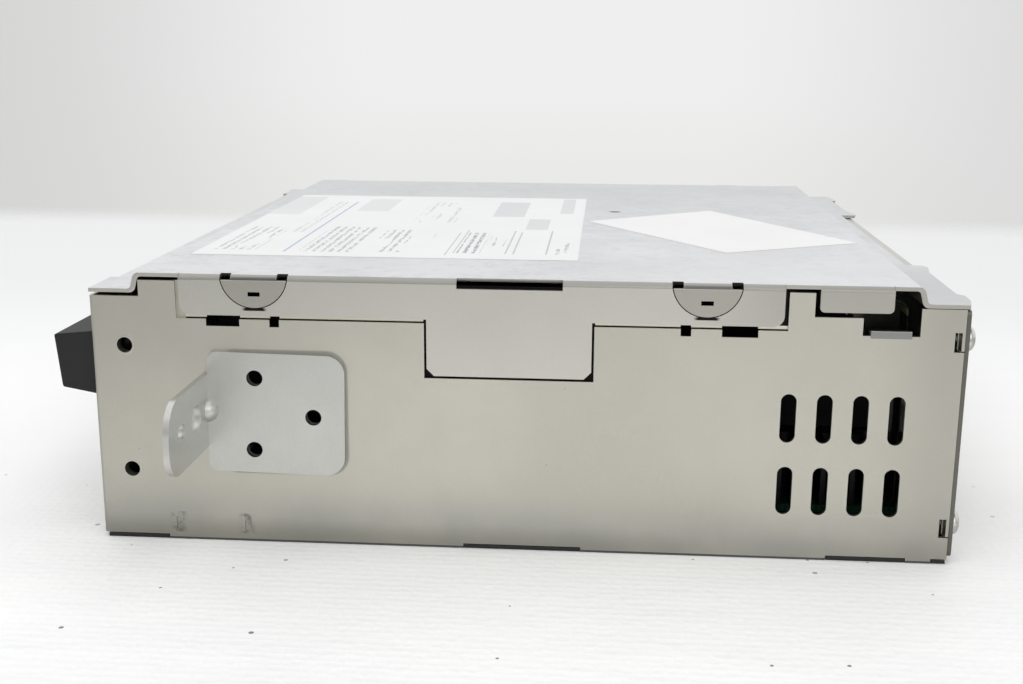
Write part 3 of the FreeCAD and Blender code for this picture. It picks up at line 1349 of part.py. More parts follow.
def deck_flex_cable():
    """Flat cable that rises at the rear left corner and loops over to the deck's side."""
    half = FLEX_THICKNESS / 2
    x0 = REAR - 9.0
    side = x0 - 11.0
    points = [(x0 - 4, BOARD_TOP + half), (x0, BOARD_TOP + half), (x0, FLEX_LOOP_TOP), (side, FLEX_LOOP_TOP),
              (side, FLEX_LOOP_TOP - 16.0)]
    return bent_strip(points, FLEX_THICKNESS, FLEX_BEND_RADIUS, -BOARD_HALF_WIDTH + 0.2, -DECK_HALF_WIDTH)


def front_board_cable():
    """Flat cable from the switch board's lower edge down and back to the main board."""
    half = FLEX_THICKNESS / 2
    x0 = front_board_x() + BOARD_THICKNESS + half
    edge = from_front(BOARD_FRONT)
    points = [(x0, FRONT_BOARD_BOTTOM + 1.4), (x0, BOARD_TOP + 5), (edge + 0.3, BOARD_TOP + half),
              (edge + 3, BOARD_TOP + half)]
    return bent_strip(points, FLEX_THICKNESS, 2.0, BUTTON_Y - 2, BUTTON_Y + 2)


# Disc deck


def deck_posts():
    """Turned steel posts that carry the deck above the board."""
    top = DECK_BOTTOM - DAMPER_LOWER
    posts = []
    for x, y in damper_places():
        post = fuse([rod("z", POST_RADIUS, SHEET, top, x, y), rod("z", POST_RIVET_RADIUS, 0, SHEET, x, y)])
        posts.append(post.cut(rod("z", SCREW_HOLE_RADIUS, POST_BORE_BOTTOM, top + 1, x, y)))
    return group(posts)


def deck_dampers():
    """Rubber grommets gripping the deck sheet on top of the posts."""
    grommets = []
    for x, y in damper_places():
        lower = rod("z", DAMPER_RADIUS, DECK_BOTTOM - DAMPER_LOWER, DECK_BOTTOM, x, y)
        neck = rod("z", DAMPER_NECK, DECK_BOTTOM, DECK_TOP, x, y)
        upper = rod("z", DAMPER_RADIUS, DECK_TOP, DECK_TOP + DAMPER_UPPER, x, y)
        bore = rod("z", SCREW_HOLE_RADIUS, DECK_BOTTOM - DAMPER_LOWER - 1, DECK_TOP + DAMPER_UPPER + 1, x, y)
        grommets.append(fuse([lower, neck, upper]).cut(bore))
    return group(grommets)


def damper_screws():
    z = DECK_TOP + DAMPER_UPPER
    return group([aimed(pan_screw(14.0), vec(0, 0, -1), vec(x, y, z)) for x, y in damper_places()])


def train_centres():
    """Centres in (x, z) of the roller, idler, reduction gear and motor."""
    roller = (from_front(ROLLER_X), ROLLER_HEIGHT)
    idler = step_from(roller[0], roller[1], MODULE * (ROLLER_TEETH + IDLER_TEETH) / 2, IDLER_DIRECTION)
    reduction = step_from(idler[0], idler[1], MODULE * (IDLER_TEETH + REDUCTION_SMALL_TEETH) / 2,
                          REDUCTION_DIRECTION)
    reach = MODULE * (REDUCTION_LARGE_TEETH + PINION_TEETH) / 2
    drop = LOADING_MOTOR_HEIGHT - reduction[1]
    motor = (reduction[0] + math.sqrt(reach * reach - drop * drop), LOADING_MOTOR_HEIGHT)
    return roller, idler, reduction, motor


def train_angles():
    """Tooth angles of roller, idler, reduction pair and motor pinion, all in mesh."""
    reduction, motor = train_centres()[2:]
    roller_angle = 0.0
    idler_angle = meshed_angle(roller_angle, ROLLER_TEETH, IDLER_DIRECTION, IDLER_TEETH)
    small_angle = meshed_angle(idler_angle, IDLER_TEETH, REDUCTION_DIRECTION, REDUCTION_SMALL_TEETH)
    direction = math.degrees(math.atan2(motor[1] - reduction[1], motor[0] - reduction[0]))
    pinion_angle = meshed_angle(small_angle, REDUCTION_LARGE_TEETH, direction, PINION_TEETH)
    return roller_angle, idler_angle, small_angle, pinion_angle


def small_gear_span():
    y1 = -DECK_HALF_WIDTH - 1.0
    return y1 - GEAR_WIDTH, y1


def large_gear_span():
    y1 = small_gear_span()[0] - GEAR_LAYER_GAP
    return y1 - LARGE_GEAR_WIDTH, y1


def arm_pivot():
    return from_front(ARM_PIVOT_X), ARM_PIVOT_HEIGHT


def arm_cam_pin():
    pivot = arm_pivot()
    return pivot[0] + ARM_CAM_PIN[0], pivot[1] + ARM_CAM_PIN[1]


def clamp_pivot():
    return from_front(CLAMP_PIVOT_X), CLAMP_PIVOT_HEIGHT


def clamp_cam_pin():
    return from_front(CLAMP_CAM_X), CLAMP_PIVOT_HEIGHT


def deck_side(side):
    """One upturned side of the deck with a throat at the front for the roller's shaft."""
    y_out = side * DECK_HALF_WIDTH
    y_in = side * (DECK_HALF_WIDTH - DECK_SHEET)
    front = from_front(DECK_FRONT)
    throat = from_front(ROLLER_X + 7.0)
    upper = from_front(ROLLER_X - 6.0)
    rear = from_front(DECK_REAR)
    slope = clamp_pivot()[0] + 4.5
    outline = [(front, DECK_BOTTOM), (front, DECK_TOP + 2), (throat, DECK_TOP + 2),
               (throat, ROLLER_HEIGHT + 3.4),
               (upper, ROLLER_HEIGHT + 3.4), (upper, DECK_FLANGE_TOP), (slope, DECK_FLANGE_TOP),
               (rear, DECK_BOTTOM + 8), (rear, DECK_BOTTOM)]
    return profile_y(outline, min(y_in, y_out), max(y_in, y_out))


def deck_base():
    """Pressed steel deck with upturned sides that carry the arms, gears and slide."""
    front = from_front(DECK_FRONT)
    rear = from_front(DECK_REAR)
    plate = box(front, rear, -DECK_HALF_WIDTH, DECK_HALF_WIDTH, DECK_BOTTOM, DECK_TOP)
    pivot = clamp_pivot()
    idler, reduction, motor = train_centres()[1:]
    far = DECK_HALF_WIDTH + 2
    near_y = DECK_HALF_WIDTH - 3
    tools = [rod("z", DAMPER_NECK, 0, 30, x, y) for x, y in damper_places()]
    window_x = from_front(ROLLER_X)
    half_roller = ROLLER_END_RADIUS + 1.6
    tools.append(box(window_x - half_roller, window_x + half_roller, -DECK_HALF_WIDTH + 5,
                     DECK_HALF_WIDTH - 5, DECK_BOTTOM - 1, DECK_TOP + 1))
    tools.append(box(from_front(TRAVERSE_FRONT + DECK_WINDOW_SETBACK),
                     from_front(TRAVERSE_REAR - DECK_WINDOW_RIM), DECK_WINDOW_SPAN[0], DECK_WINDOW_SPAN[1],
                     DECK_BOTTOM - 1, DECK_TOP + 1))
    feed = feed_motor_centre()
    tools.append(rod("z", FEED_MOTOR_RADIUS + 0.3, DECK_BOTTOM - 1, DECK_TOP + 1, feed[0], feed[1]))
    tools += [rod("z", SCREW_HOLE_RADIUS, 0, 30, x, y) for x, y in traverse_screw_places()]
    tools += [rod("y", GEAR_PIN_RADIUS, -far, -near_y, x, z) for x, z in (idler, reduction)]
    tools.append(rod("y", 1.6, -far, -near_y, motor[0], motor[1]))
    tools += [rod("y", ROLLER_SHAFT_RADIUS, -far, far, arm_pivot()[0], arm_pivot()[1])]
    tools += [rod("y", CAM_GUIDE_RADIUS, near_y, far, from_front(x), z) for x, z in CAM_GUIDE_PINS]
    pin = arm_cam_pin()
    tools.append(rod("y", CAM_PIN_RADIUS + 2.6, near_y, far, pin[0] - 0.5, pin[1] + 1.0))
    cam = clamp_cam_pin()
    tools.append(box(cam[0] - 5.5, cam[0] + 5.5, near_y, far, cam[1] - 7, DECK_FLANGE_TOP + 1))
    tools.append(rod("y", CLAMP_PIN_RADIUS, -far, far, pivot[0], pivot[1]))
    return cut(fuse([plate, deck_side(-1), deck_side(1)]), tools)


def mechanism_pins():
    """Riveted pins: two gear pins, the arm pivots and the cam slider's guide pins."""
    idler, reduction = train_centres()[1:3]
    inner = -DECK_HALF_WIDTH + DECK_SHEET
    pins = []
    for centre, end in ((idler, small_gear_span()[0]), (reduction, large_gear_span()[0])):
        tip = end - 0.35
        shank = rod("y", GEAR_PIN_RADIUS, tip, inner, centre[0], centre[1])
        head = rod("y", GEAR_PIN_RADIUS + 0.7, tip - 0.35, tip, centre[0], centre[1])
        pins.append(fuse([shank, head]))
    pivot = arm_pivot()
    for side in (-1, 1):
        low = min(side * (ARM_Y - ARM_SHEET - 0.6), side * (DECK_HALF_WIDTH + 0.3))
        high = max(side * (ARM_Y - ARM_SHEET - 0.6), side * (DECK_HALF_WIDTH + 0.3))
        pins.append(rod("y", ROLLER_SHAFT_RADIUS, low, high, pivot[0], pivot[1]))
    y0 = DECK_HALF_WIDTH - DECK_SHEET
    y1 = DECK_HALF_WIDTH + BODY_GAP + CAM_SHEET + BODY_GAP
    for x, z in CAM_GUIDE_PINS:
        shank = rod("y", CAM_GUIDE_RADIUS, y0, y1, from_front(x), z)
        head = rod("y", CAM_GUIDE_RADIUS + 1.2, y1, y1 + 0.8, from_front(x), z)
        pins.append(fuse([shank, head]))
    return group(pins)


def upper_disc_guide():
    """Moulded bridge above the disc path, hooked over the deck's sides."""
    x0 = from_front(ROLLER_X - 3.0)
    x1 = from_front(ROLLER_X + 12.0)
    z0 = DISC_UNDERSIDE + 3.0
    half = DECK_HALF_WIDTH - DECK_SHEET - 0.1
    plate = box(x0, x1, -half, half, z0, z0 + 1.4)
    pieces = [plate]
    for side in (-1, 1):
        low = min(side * half, side * (half - 1.4))
        high = max(side * half, side * (half - 1.4))
        hook_x = from_front(ROLLER_X + 4.0)
        pieces.append(box(hook_x, x1, low, high, z0, DECK_FLANGE_TOP + 1.2))
        low = min(side * (half - 1.4), side * (DECK_HALF_WIDTH + 0.2))
        high = max(side * (half - 1.4), side * (DECK_HALF_WIDTH + 0.2))
        pieces.append(box(hook_x, x1, low, high, DECK_FLANGE_TOP, DECK_FLANGE_TOP + 1.2))
    ribs = [box(x0, x1, y - 0.6, y + 0.6, z0 + 1.2, z0 + 3.2) for y in (-54, -36, -18, 0, 18, 36, 54)]
    skids = [box(x0, x1, y - 2.5, y + 2.5, z0 - 0.8, z0 + 0.2) for y in (-58, 58)]
    return fuse(pieces + ribs + skids)


def roller_arm():
    """U-shaped lever that holds the roller and drops it clear of a loaded disc."""
    pivot = arm_pivot()
    roller = (from_front(ROLLER_X), ROLLER_HEIGHT)
    pin = arm_cam_pin()
    pieces = []
    for side in (-1, 1):
        outer = side * ARM_Y
        inner = side * (ARM_Y - ARM_SHEET)
        low = min(outer, inner)
        high = max(outer, inner)
        pieces.append(slot_between(roller, pivot, 3.2, low, high))
        if side > 0:
            pieces.append(slot_between(pivot, pin, 2.6, low, high))
    reach = DECK_HALF_WIDTH + BODY_GAP + CAM_SHEET + 0.2
    pieces.append(rod("y", CAM_PIN_RADIUS, ARM_Y - ARM_SHEET / 2, reach, pin[0], pin[1]))
    bar_x = from_front(ROLLER_X + 6.6)
    bar_top = ROLLER_HEIGHT + 0.6
    pieces.append(box(bar_x, bar_x + 1.6, -ARM_Y, ARM_Y, bar_top - ARM_BAR_HEIGHT, bar_top))
    tools = [rod("y", ROLLER_SHAFT_RADIUS + RUNNING_GAP, -ARM_Y - 1, ARM_Y + 1, roller[0], roller[1])]
    for side in (-1, 1):
        low = min(side * (ARM_Y + 1), side * (ARM_Y - ARM_SHEET - 1))
        high = max(side * (ARM_Y + 1), side * (ARM_Y - ARM_SHEET - 1))
        tools.append(rod("y", ROLLER_SHAFT_RADIUS + RUNNING_GAP, low, high, pivot[0], pivot[1]))
    return cut(fuse(pieces), tools)


def roller_shaft():
    gears = small_gear_span()
    return rod("y", ROLLER_SHAFT_RADIUS, gears[0] - 0.3, ARM_Y + 0.8, from_front(ROLLER_X), ROLLER_HEIGHT)


def roller_sleeves():
    """Two rubber cones on the shaft, thinner towards the middle so they grip only the disc's rim."""
    x = from_front(ROLLER_X)
    length = ROLLER_OUTER_Y - ROLLER_INNER_Y
    cone = Part.makeCone(ROLLER_WAIST_RADIUS, ROLLER_END_RADIUS, length, vec(x, ROLLER_INNER_Y,
                                                                             ROLLER_HEIGHT),
                         vec(0, 1, 0))
    bore = rod("y", ROLLER_SHAFT_RADIUS, ROLLER_INNER_Y - 1, ROLLER_OUTER_Y + 1, x, ROLLER_HEIGHT)
    sleeve = cone.cut(bore)
    return group([sleeve, mirrored(sleeve)])


def roller_gear():
    centre = train_centres()[0]
    y0, y1 = small_gear_span()
    gear = gear_y(ROLLER_TEETH, train_angles()[0], centre[0], centre[1], y0, y1)
    return gear.cut(rod("y", ROLLER_SHAFT_RADIUS, y0 - 1, y1 + 1, centre[0], centre[1]))


def idler_gear():
    centre = train_centres()[1]
    y0, y1 = small_gear_span()
    gear = gear_y(IDLER_TEETH, train_angles()[1], centre[0], centre[1], y0, y1)
    return gear.cut(rod("y", GEAR_PIN_RADIUS + RUNNING_GAP, y0 - 1, y1 + 1, centre[0], centre[1]))


def reduction_gear():
    """Large and small gear moulded as one piece."""
    centre = train_centres()[2]
    angle = train_angles()[2]
    y0, y1 = small_gear_span()
    low, high = large_gear_span()
    small = gear_y(REDUCTION_SMALL_TEETH, angle, centre[0], centre[1], y0, y1)
    large = gear_y(REDUCTION_LARGE_TEETH, angle, centre[0], centre[1], low, high)
    hub = rod("y", MODULE * REDUCTION_SMALL_TEETH / 2 - 0.7, high - 0.2, y0 + 0.2, centre[0], centre[1])
    gear = fuse([small, large, hub])
    return gear.cut(rod("y", GEAR_PIN_RADIUS + RUNNING_GAP, low - 1, y1 + 1, centre[0], centre[1]))


def loading_motor():
    """Small flat-sided motor lying inside the deck's left side, its shaft end held in the side."""
    motor = train_centres()[3]
    y0 = -DECK_HALF_WIDTH + DECK_SHEET
    can = rod("y", LOADING_MOTOR_RADIUS, y0, y0 + LOADING_MOTOR_LENGTH, motor[0], motor[1])
    flat = LOADING_MOTOR_RADIUS - 1.0
    sides = [box(motor[0] + flat, motor[0] + 9, y0 - 1, y0 + LOADING_MOTOR_LENGTH + 1, 0, 60),
             box(motor[0] - 9, motor[0] - flat, y0 - 1, y0 + LOADING_MOTOR_LENGTH + 1, 0, 60)]
    bearing = rod("y", 1.5, y0 - DECK_SHEET - 0.2, y0 + 1, motor[0], motor[1])
    bore = rod("y", 0.5 + RUNNING_GAP, y0 - 3, y0 + 8, motor[0], motor[1])
    return fuse([cut(can, sides), bearing]).cut(bore)


def motor_pinion():
    """Brass pinion pressed on the loading motor's shaft."""
    motor = train_centres()[3]
    low, high = large_gear_span()
    gear = gear_y(PINION_TEETH, train_angles()[3], motor[0], motor[1], low, high)
    shaft = rod("y", 0.5, low - 0.3, -DECK_HALF_WIDTH + DECK_SHEET + 6, motor[0], motor[1])
    return fuse([gear, shaft])


def cam_slider():
    """Slotted steel slide that drops the clamp arm and the roller arm together."""
    y0 = DECK_HALF_WIDTH + BODY_GAP
    y1 = y0 + CAM_SHEET
    pin = arm_cam_pin()
    cam = clamp_cam_pin()
    pin_end = swung(pin, arm_pivot(), ARM_DROP_ANGLE)
    cam_end = swung(cam, clamp_pivot(), CLAMP_DROP_ANGLE)
    low = min(z for x, z in CAM_GUIDE_PINS) - 4.0
    front = pin[0] - CAM_TRAVEL - 5.0
    rear = cam[0] + 5.0
    mid = cam[0] - CAM_TRAVEL - 6.0
    outline = [(front, low), (front, pin[1] + 6), (mid, pin[1] + 6), (mid + 6, cam[1] + 3.2),
               (rear, cam[1] + 3.2), (rear, low)]
    plate = profile_y(outline, y0, y1)
    tools = [slot_between(pin, (pin_end[0] - CAM_TRAVEL, pin_end[1]), CAM_PIN_RADIUS + CAM_SLOT_PLAY,
                          y0 - 1, y1 + 1)]
    tools.append(slot_between(cam, (cam_end[0] - CAM_TRAVEL, cam_end[1]), CAM_PIN_RADIUS + CAM_SLOT_PLAY,
                              y0 - 1, y1 + 1))
    for x, z in CAM_GUIDE_PINS:
        start = from_front(x)
        tools.append(slot_between((start + 0.3, z), (start - CAM_TRAVEL - 0.3, z),
                                  CAM_GUIDE_RADIUS + RUNNING_GAP, y0 - 1, y1 + 1))
    return cut(plate, tools)


def clamp_arm():
    """T-shaped sheet lever over the disc: rear bar on two pins, clamper seat, wing with the cam pin."""
    pivot = clamp_pivot()
    spindle = from_front(SPINDLE_X)
    z0 = CLAMP_ARM_HEIGHT
    z1 = z0 + CLAMP_ARM_SHEET
    half = DECK_HALF_WIDTH - DECK_SHEET - CLAMP_SIDE_GAP
    bar_front = pivot[0] - 9
    bar_rear = pivot[0] + 4
    outline = [(bar_rear, -half), (bar_rear, half), (bar_front, half), (bar_front - 16, 24),
               (spindle + 4, 20),
               (spindle - 12, 14), (spindle - 18, 0), (spindle - 12, -14), (spindle + 4, -20),
               (bar_front - 16, -24), (bar_front, -half)]
    pieces = [profile_z(outline, z0, z1)]
    for side in (-1, 1):
        low = min(side * half, side * (half - CLAMP_ARM_SHEET))
        high = max(side * half, side * (half - CLAMP_ARM_SHEET))
        pieces.append(box(bar_front, bar_rear, low, high, pivot[1] - 3.2, z1))
    pin = clamp_cam_pin()
    pieces.append(box(pin[0] - 4, pin[0] + 4, 10, half, z0, z1))
    pieces.append(box(pin[0] - 3, pin[0] + 3, half - CLAMP_ARM_SHEET, half, pin[1] - 3, z1))
    reach = DECK_HALF_WIDTH + BODY_GAP + CAM_SHEET + 0.2
    pieces.append(rod("y", CAM_PIN_RADIUS, half - CLAMP_ARM_SHEET / 2, reach, pin[0], pin[1]))
    tools = [rod("z", CLAMPER_NECK_RADIUS + BODY_GAP, z0 - 5, z1 + 5, spindle, 0)]
    tools.append(rod("y", CLAMP_PIN_RADIUS + RUNNING_GAP, -half - 2, half + 2, pivot[0], pivot[1]))
    return cut(fuse(pieces), tools)


def clamp_arm_pins():
    """Two stub pins riveted in the deck's sides."""
    pivot = clamp_pivot()
    inner = DECK_HALF_WIDTH - DECK_SHEET - CLAMP_SIDE_GAP - CLAMP_ARM_SHEET - 0.6
    pin = rod("y", CLAMP_PIN_RADIUS, inner, DECK_HALF_WIDTH + 0.3, pivot[0], pivot[1])
    return group([pin, mirrored(pin)])


def clamper():
    """Loose puck in the clamp arm that presses the disc on the turntable."""
    x = from_front(SPINDLE_X)
    z0 = CLAMPER_BOTTOM
    seat = CLAMP_ARM_HEIGHT + CLAMP_ARM_SHEET + SEAT_GAP
    under = CLAMP_ARM_HEIGHT - 2 * BODY_GAP
    lower = rod("z", CLAMPER_RADIUS, z0, under, x, 0)
    neck = rod("z", CLAMPER_NECK_RADIUS, z0, seat + 1.0, x, 0)
    flange = rod("z", CLAMPER_NECK_RADIUS + 3, seat, seat + 1.2, x, 0)
    recess = Part.makeCone(HUB_RADIUS + 1.2, HUB_RADIUS - 0.2, CLAMPER_RECESS, vec(x, 0, z0), vec(0, 0, 1))
    return fuse([lower, neck, flange]).cut(recess)


# Pickup traverse


def traverse_screw_places():
    rear = from_front(TRAVERSE_REAR - 3)
    front = from_front(TRAVERSE_FRONT + 4)
    return [(front, -TRAVERSE_LEFT + 4), (front, TRAVERSE_RIGHT - 4), (rear, -TRAVERSE_LEFT + 4),
            (rear, TRAVERSE_RIGHT - 4)]


def feed_motor_centre():
    reach = MODULE * (FEED_LARGE_TEETH + PINION_TEETH) / 2
    return step_from(from_front(FEED_GEAR_X), FEED_GEAR_Y, reach, FEED_DIRECTION)


def rod_span():
    return from_front(TRAVERSE_FRONT + 31.0), from_front(TRAVERSE_REAR - 1.5)


def traverse_frame():
    """Moulded frame for the spindle motor, the two guide rods and the feed gear."""
    x0 = from_front(TRAVERSE_FRONT)
    x1 = from_front(TRAVERSE_REAR)
    plate = box(x0, x1, -TRAVERSE_LEFT, TRAVERSE_RIGHT, TRAVERSE_BOTTOM, TRAVERSE_TOP)
    start, end = rod_span()
    blocks = []
    for y in (MAIN_ROD_Y, SUB_ROD_Y):
        for x in (start, end - 3.0):
            blocks.append(box(x, x + 3.0, y - 3, y + 3, TRAVERSE_TOP - 0.5, ROD_HEIGHT + 2.6))
    gear_x = from_front(FEED_GEAR_X)
    post = rod("z", GEAR_PIN_RADIUS, TRAVERSE_TOP - 0.5, RACK_BOTTOM + RACK_THICKNESS + 0.8, gear_x,
               FEED_GEAR_Y)
    collar = rod("z", GEAR_PIN_RADIUS + 1.0, TRAVERSE_TOP - 0.5, FEED_LARGE_BOTTOM - BODY_GAP, gear_x,
                 FEED_GEAR_Y)
    tools = [box(from_front(SLED_START - 0.5), end - 4.0, MAIN_ROD_Y + 4.5, SUB_ROD_Y - 4.0,
                 TRAVERSE_BOTTOM - 1, TRAVERSE_TOP + 1)]
    tools.append(rod("x", MAIN_ROD_RADIUS, start - 1, end + 1, MAIN_ROD_Y, ROD_HEIGHT))
    tools.append(rod("x", SUB_ROD_RADIUS, start - 1, end + 1, SUB_ROD_Y, ROD_HEIGHT))
    feed = feed_motor_centre()
    tools.append(rod("z", 1.7, TRAVERSE_BOTTOM - 1, TRAVERSE_TOP + 1, feed[0], feed[1]))
    tools.append(rod("z", 1.6, TRAVERSE_BOTTOM - 1, TRAVERSE_TOP + 1, from_front(SPINDLE_X), 0))
    tools += [rod("z", SCREW_HOLE_RADIUS, 0, 40, x, y) for x, y in traverse_screw_places()]
    return cut(fuse([plate] + blocks + [post, collar]), tools)


def traverse_washers():
    """Rubber rings between the deck and the traverse."""
    rings = []
    for x, y in traverse_screw_places():
        ring = rod("z", 3.5, DECK_TOP, TRAVERSE_BOTTOM, x, y)
        rings.append(ring.cut(rod("z", SCREW_HOLE_RADIUS, 0, 40, x, y)))
    return group(rings)


def guide_rods():
    start, end = rod_span()
    main = rod("x", MAIN_ROD_RADIUS, start - 0.4, end + 0.4, MAIN_ROD_Y, ROD_HEIGHT)
    sub = rod("x", SUB_ROD_RADIUS, start - 0.4, end + 0.4, SUB_ROD_Y, ROD_HEIGHT)
    return group([main, sub])


def spindle_motor():
    """Flat stator and bearing of the spindle motor."""
    x = from_front(SPINDLE_X)
    stator = rod("z", TURNTABLE_RADIUS - 1.2, TRAVERSE_TOP, TRAVERSE_TOP + 2.0, x, 0)
    bearing = rod("z", 2.4, TRAVERSE_TOP, TRAVERSE_TOP + 2.6, x, 0)
    bore = rod("z", 1.0 + RUNNING_GAP, TRAVERSE_TOP - 1, TRAVERSE_TOP + 5, x, 0)
    return fuse([stator, bearing]).cut(bore)


def turntable():
    """Rotor with the disc seat, centring hub and motor shaft."""
    x = from_front(SPINDLE_X)
    rotor_bottom = TRAVERSE_TOP + 2.6 + BODY_GAP
    rotor = rod("z", TURNTABLE_RADIUS, rotor_bottom, TURNTABLE_SEAT - 1.4, x, 0)
    seat = rod("z", TURNTABLE_RADIUS - 1.5, TURNTABLE_SEAT - 1.5, TURNTABLE_SEAT, x, 0)
    hub = rod("z", HUB_RADIUS, TURNTABLE_SEAT - 0.1, TURNTABLE_SEAT + 0.9, x, 0)
    cone = Part.makeCone(HUB_RADIUS, HUB_RADIUS - 1.6, HUB_TOP - TURNTABLE_SEAT - 0.9,
                         vec(x, 0, TURNTABLE_SEAT + 0.9), vec(0, 0, 1))
    shaft = rod("z", 1.0, TRAVERSE_TOP - 0.4, rotor_bottom + 1, x, 0)
    return fuse([rotor, seat, hub, cone, shaft])


def rack_points(y0, x0, count):
    """Row of rack teeth from a back edge at y0, the teeth facing high y."""
    pitch = math.pi * MODULE
    tip = RACK_LINE_Y + 0.85 * MODULE
    root = RACK_LINE_Y - 1.2 * MODULE
    slope = math.tan(math.radians(20))
    half = 0.43 * pitch / 2
    points = [(x0, y0)]
    end = x0 + pitch * count
    for index in range(count):
        centre = x0 + pitch * (index + 0.5)
        wide = half + slope * (RACK_LINE_Y - root)
        narrow = half - slope * (tip - RACK_LINE_Y)
        points += [(centre - wide, root), (centre - narrow, tip), (centre + narrow, tip),
                   (centre + wide, root)]
    return points + [(end, y0)]


def rack_start():
    """Front end of the rack, placed so that a gap of the rack faces the feed gear's tooth."""
    pitch = math.pi * MODULE
    gaps = math.ceil((SLED_TRAVEL + 3.0) / pitch)
    return from_front(FEED_GEAR_X) - pitch * gaps


def pickup_sled():
    """Die-cast carriage on the two rods, with the rack that drives it and the optics below."""
    x0 = from_front(SLED_START)
    x1 = x0 + SLED_LENGTH
    z0 = SLED_BOTTOM
    z1 = SLED_TOP
    body = box(x0, x1, MAIN_ROD_Y + 3.2, SUB_ROD_Y - 3.0, z0, z1)
    pieces = [body]
    for x in (x0, x1 - 5.0):
        pieces.append(rod("x", 2.7, x, x + 5.0, MAIN_ROD_Y, ROD_HEIGHT))
        pieces.append(box(x, x + 5.0, MAIN_ROD_Y, MAIN_ROD_Y + 4, z0, ROD_HEIGHT + 2.0))
    jaw = 1.2
    gap = SUB_ROD_RADIUS + RUNNING_GAP
    middle = (x0 + x1) / 2
    for low in (ROD_HEIGHT - gap - jaw, ROD_HEIGHT + gap):
        pieces.append(box(middle - 4, middle + 4, SUB_ROD_Y - 3.5, SUB_ROD_Y + 2.5, low, low + jaw))
    top_jaw = ROD_HEIGHT + gap
    count = math.ceil((SLED_TRAVEL + 3.0) / (math.pi * MODULE)) + 2
    back = RACK_LINE_Y - 3.0
    start = rack_start()
    rack = profile_z(rack_points(back, start, count), RACK_BOTTOM, RACK_BOTTOM + RACK_THICKNESS)
    pieces.append(rack)
    pieces.append(box(middle - 4, middle + 4, SUB_ROD_Y, back + 0.5, top_jaw, top_jaw + jaw))
    pieces.append(box(x0 + 4, x1 - 6, -11, 11, z0 - 3.4, z0 + 0.5))
    lens_x = x0 + LENS_OFFSET
    tools = [rod("x", MAIN_ROD_RADIUS + RUNNING_GAP, x0 - 1, x1 + 1, MAIN_ROD_Y, ROD_HEIGHT)]
    tools.append(box(lens_x - 5.5, lens_x + 8.5, -8.5, 8.5, z0 + 1.2, z1 + 1))
    cutter = rod("z", TURNTABLE_RADIUS + 2.5, z0 - 5, z1 + 5, from_front(SPINDLE_X), 0)
    return cut(fuse(pieces), tools + [cutter])


def objective_lens():
    """Lens in its moving holder, hung between the actuator's magnets."""
    x = from_front(SLED_START) + LENS_OFFSET
    z0 = SLED_BOTTOM + 1.2 + 0.9
    holder = box(x - 4.0, x + 4.5, -6.5, 6.5, z0, z0 + 2.4)
    rim = rod("z", LENS_RADIUS + 1.0, z0 + 2.0, z0 + 3.2, x, 0)
    dome = Part.makeSphere(LENS_RADIUS * 1.4, vec(x, 0, z0 + 3.3 - LENS_RADIUS * 1.05))
    dome = dome.common(rod("z", LENS_RADIUS, z0 + 2.6, z0 + 6, x, 0))
    return fuse([holder, rim, dome])


def feed_angles():
    """Tooth angles of the feed gear pair and its motor pinion."""
    feed_angle = -90.0
    pinion_angle = meshed_angle(feed_angle, FEED_LARGE_TEETH, FEED_DIRECTION, PINION_TEETH)
    return feed_angle, pinion_angle


def feed_gear():
    """Large gear over the traverse with the small gear that drives the rack."""
    x = from_front(FEED_GEAR_X)
    angle = feed_angles()[0]
    top = FEED_LARGE_BOTTOM + FEED_LARGE_WIDTH
    large = gear_z(FEED_LARGE_TEETH, angle, x, FEED_GEAR_Y, FEED_LARGE_BOTTOM, top)
    small = gear_z(FEED_SMALL_TEETH, angle, x, FEED_GEAR_Y, top - 0.1, RACK_BOTTOM + RACK_THICKNESS)
    gear = fuse([large, small])
    return gear.cut(rod("z", GEAR_PIN_RADIUS + RUNNING_GAP, 0, 60, x, FEED_GEAR_Y))


def feed_motor():
    """Can motor hung below the traverse frame, its bearing standing through the frame."""
    x, y = feed_motor_centre()
    can = rod("z", FEED_MOTOR_RADIUS, TRAVERSE_BOTTOM - FEED_MOTOR_LENGTH, TRAVERSE_BOTTOM, x, y)
    bearing = rod("z", 1.6, TRAVERSE_BOTTOM - 1, TRAVERSE_TOP + 0.2, x, y)
    bore = rod("z", 0.5 + RUNNING_GAP, TRAVERSE_BOTTOM - 6, TRAVERSE_TOP + 5, x, y)
    return fuse([can, bearing]).cut(bore)


def feed_pinion():
    x, y = feed_motor_centre()
    top = FEED_LARGE_BOTTOM + FEED_LARGE_WIDTH
    gear = gear_z(PINION_TEETH, feed_angles()[1], x, y, FEED_LARGE_BOTTOM, top)
    shaft = rod("z", 0.5, TRAVERSE_BOTTOM - 4, top + 0.3, x, y)
    return fuse([gear, shaft])


# Labels on the lid



def rating_label():
    """Large paper label on the lid."""
    x0, x1, y0, y1 = RATING_LABEL
    return box(from_front(x0), from_front(x1), LEFT + y0, LEFT + y1, COVER_TOP, COVER_TOP + LABEL_THICKNESS)


def service_sticker():
    """Smaller blank sticker, put on askew."""
    corners = [(from_front(x), LEFT + y) for x, y in SERVICE_STICKER]
    return profile_z(corners, COVER_TOP, COVER_TOP + LABEL_THICKNESS)


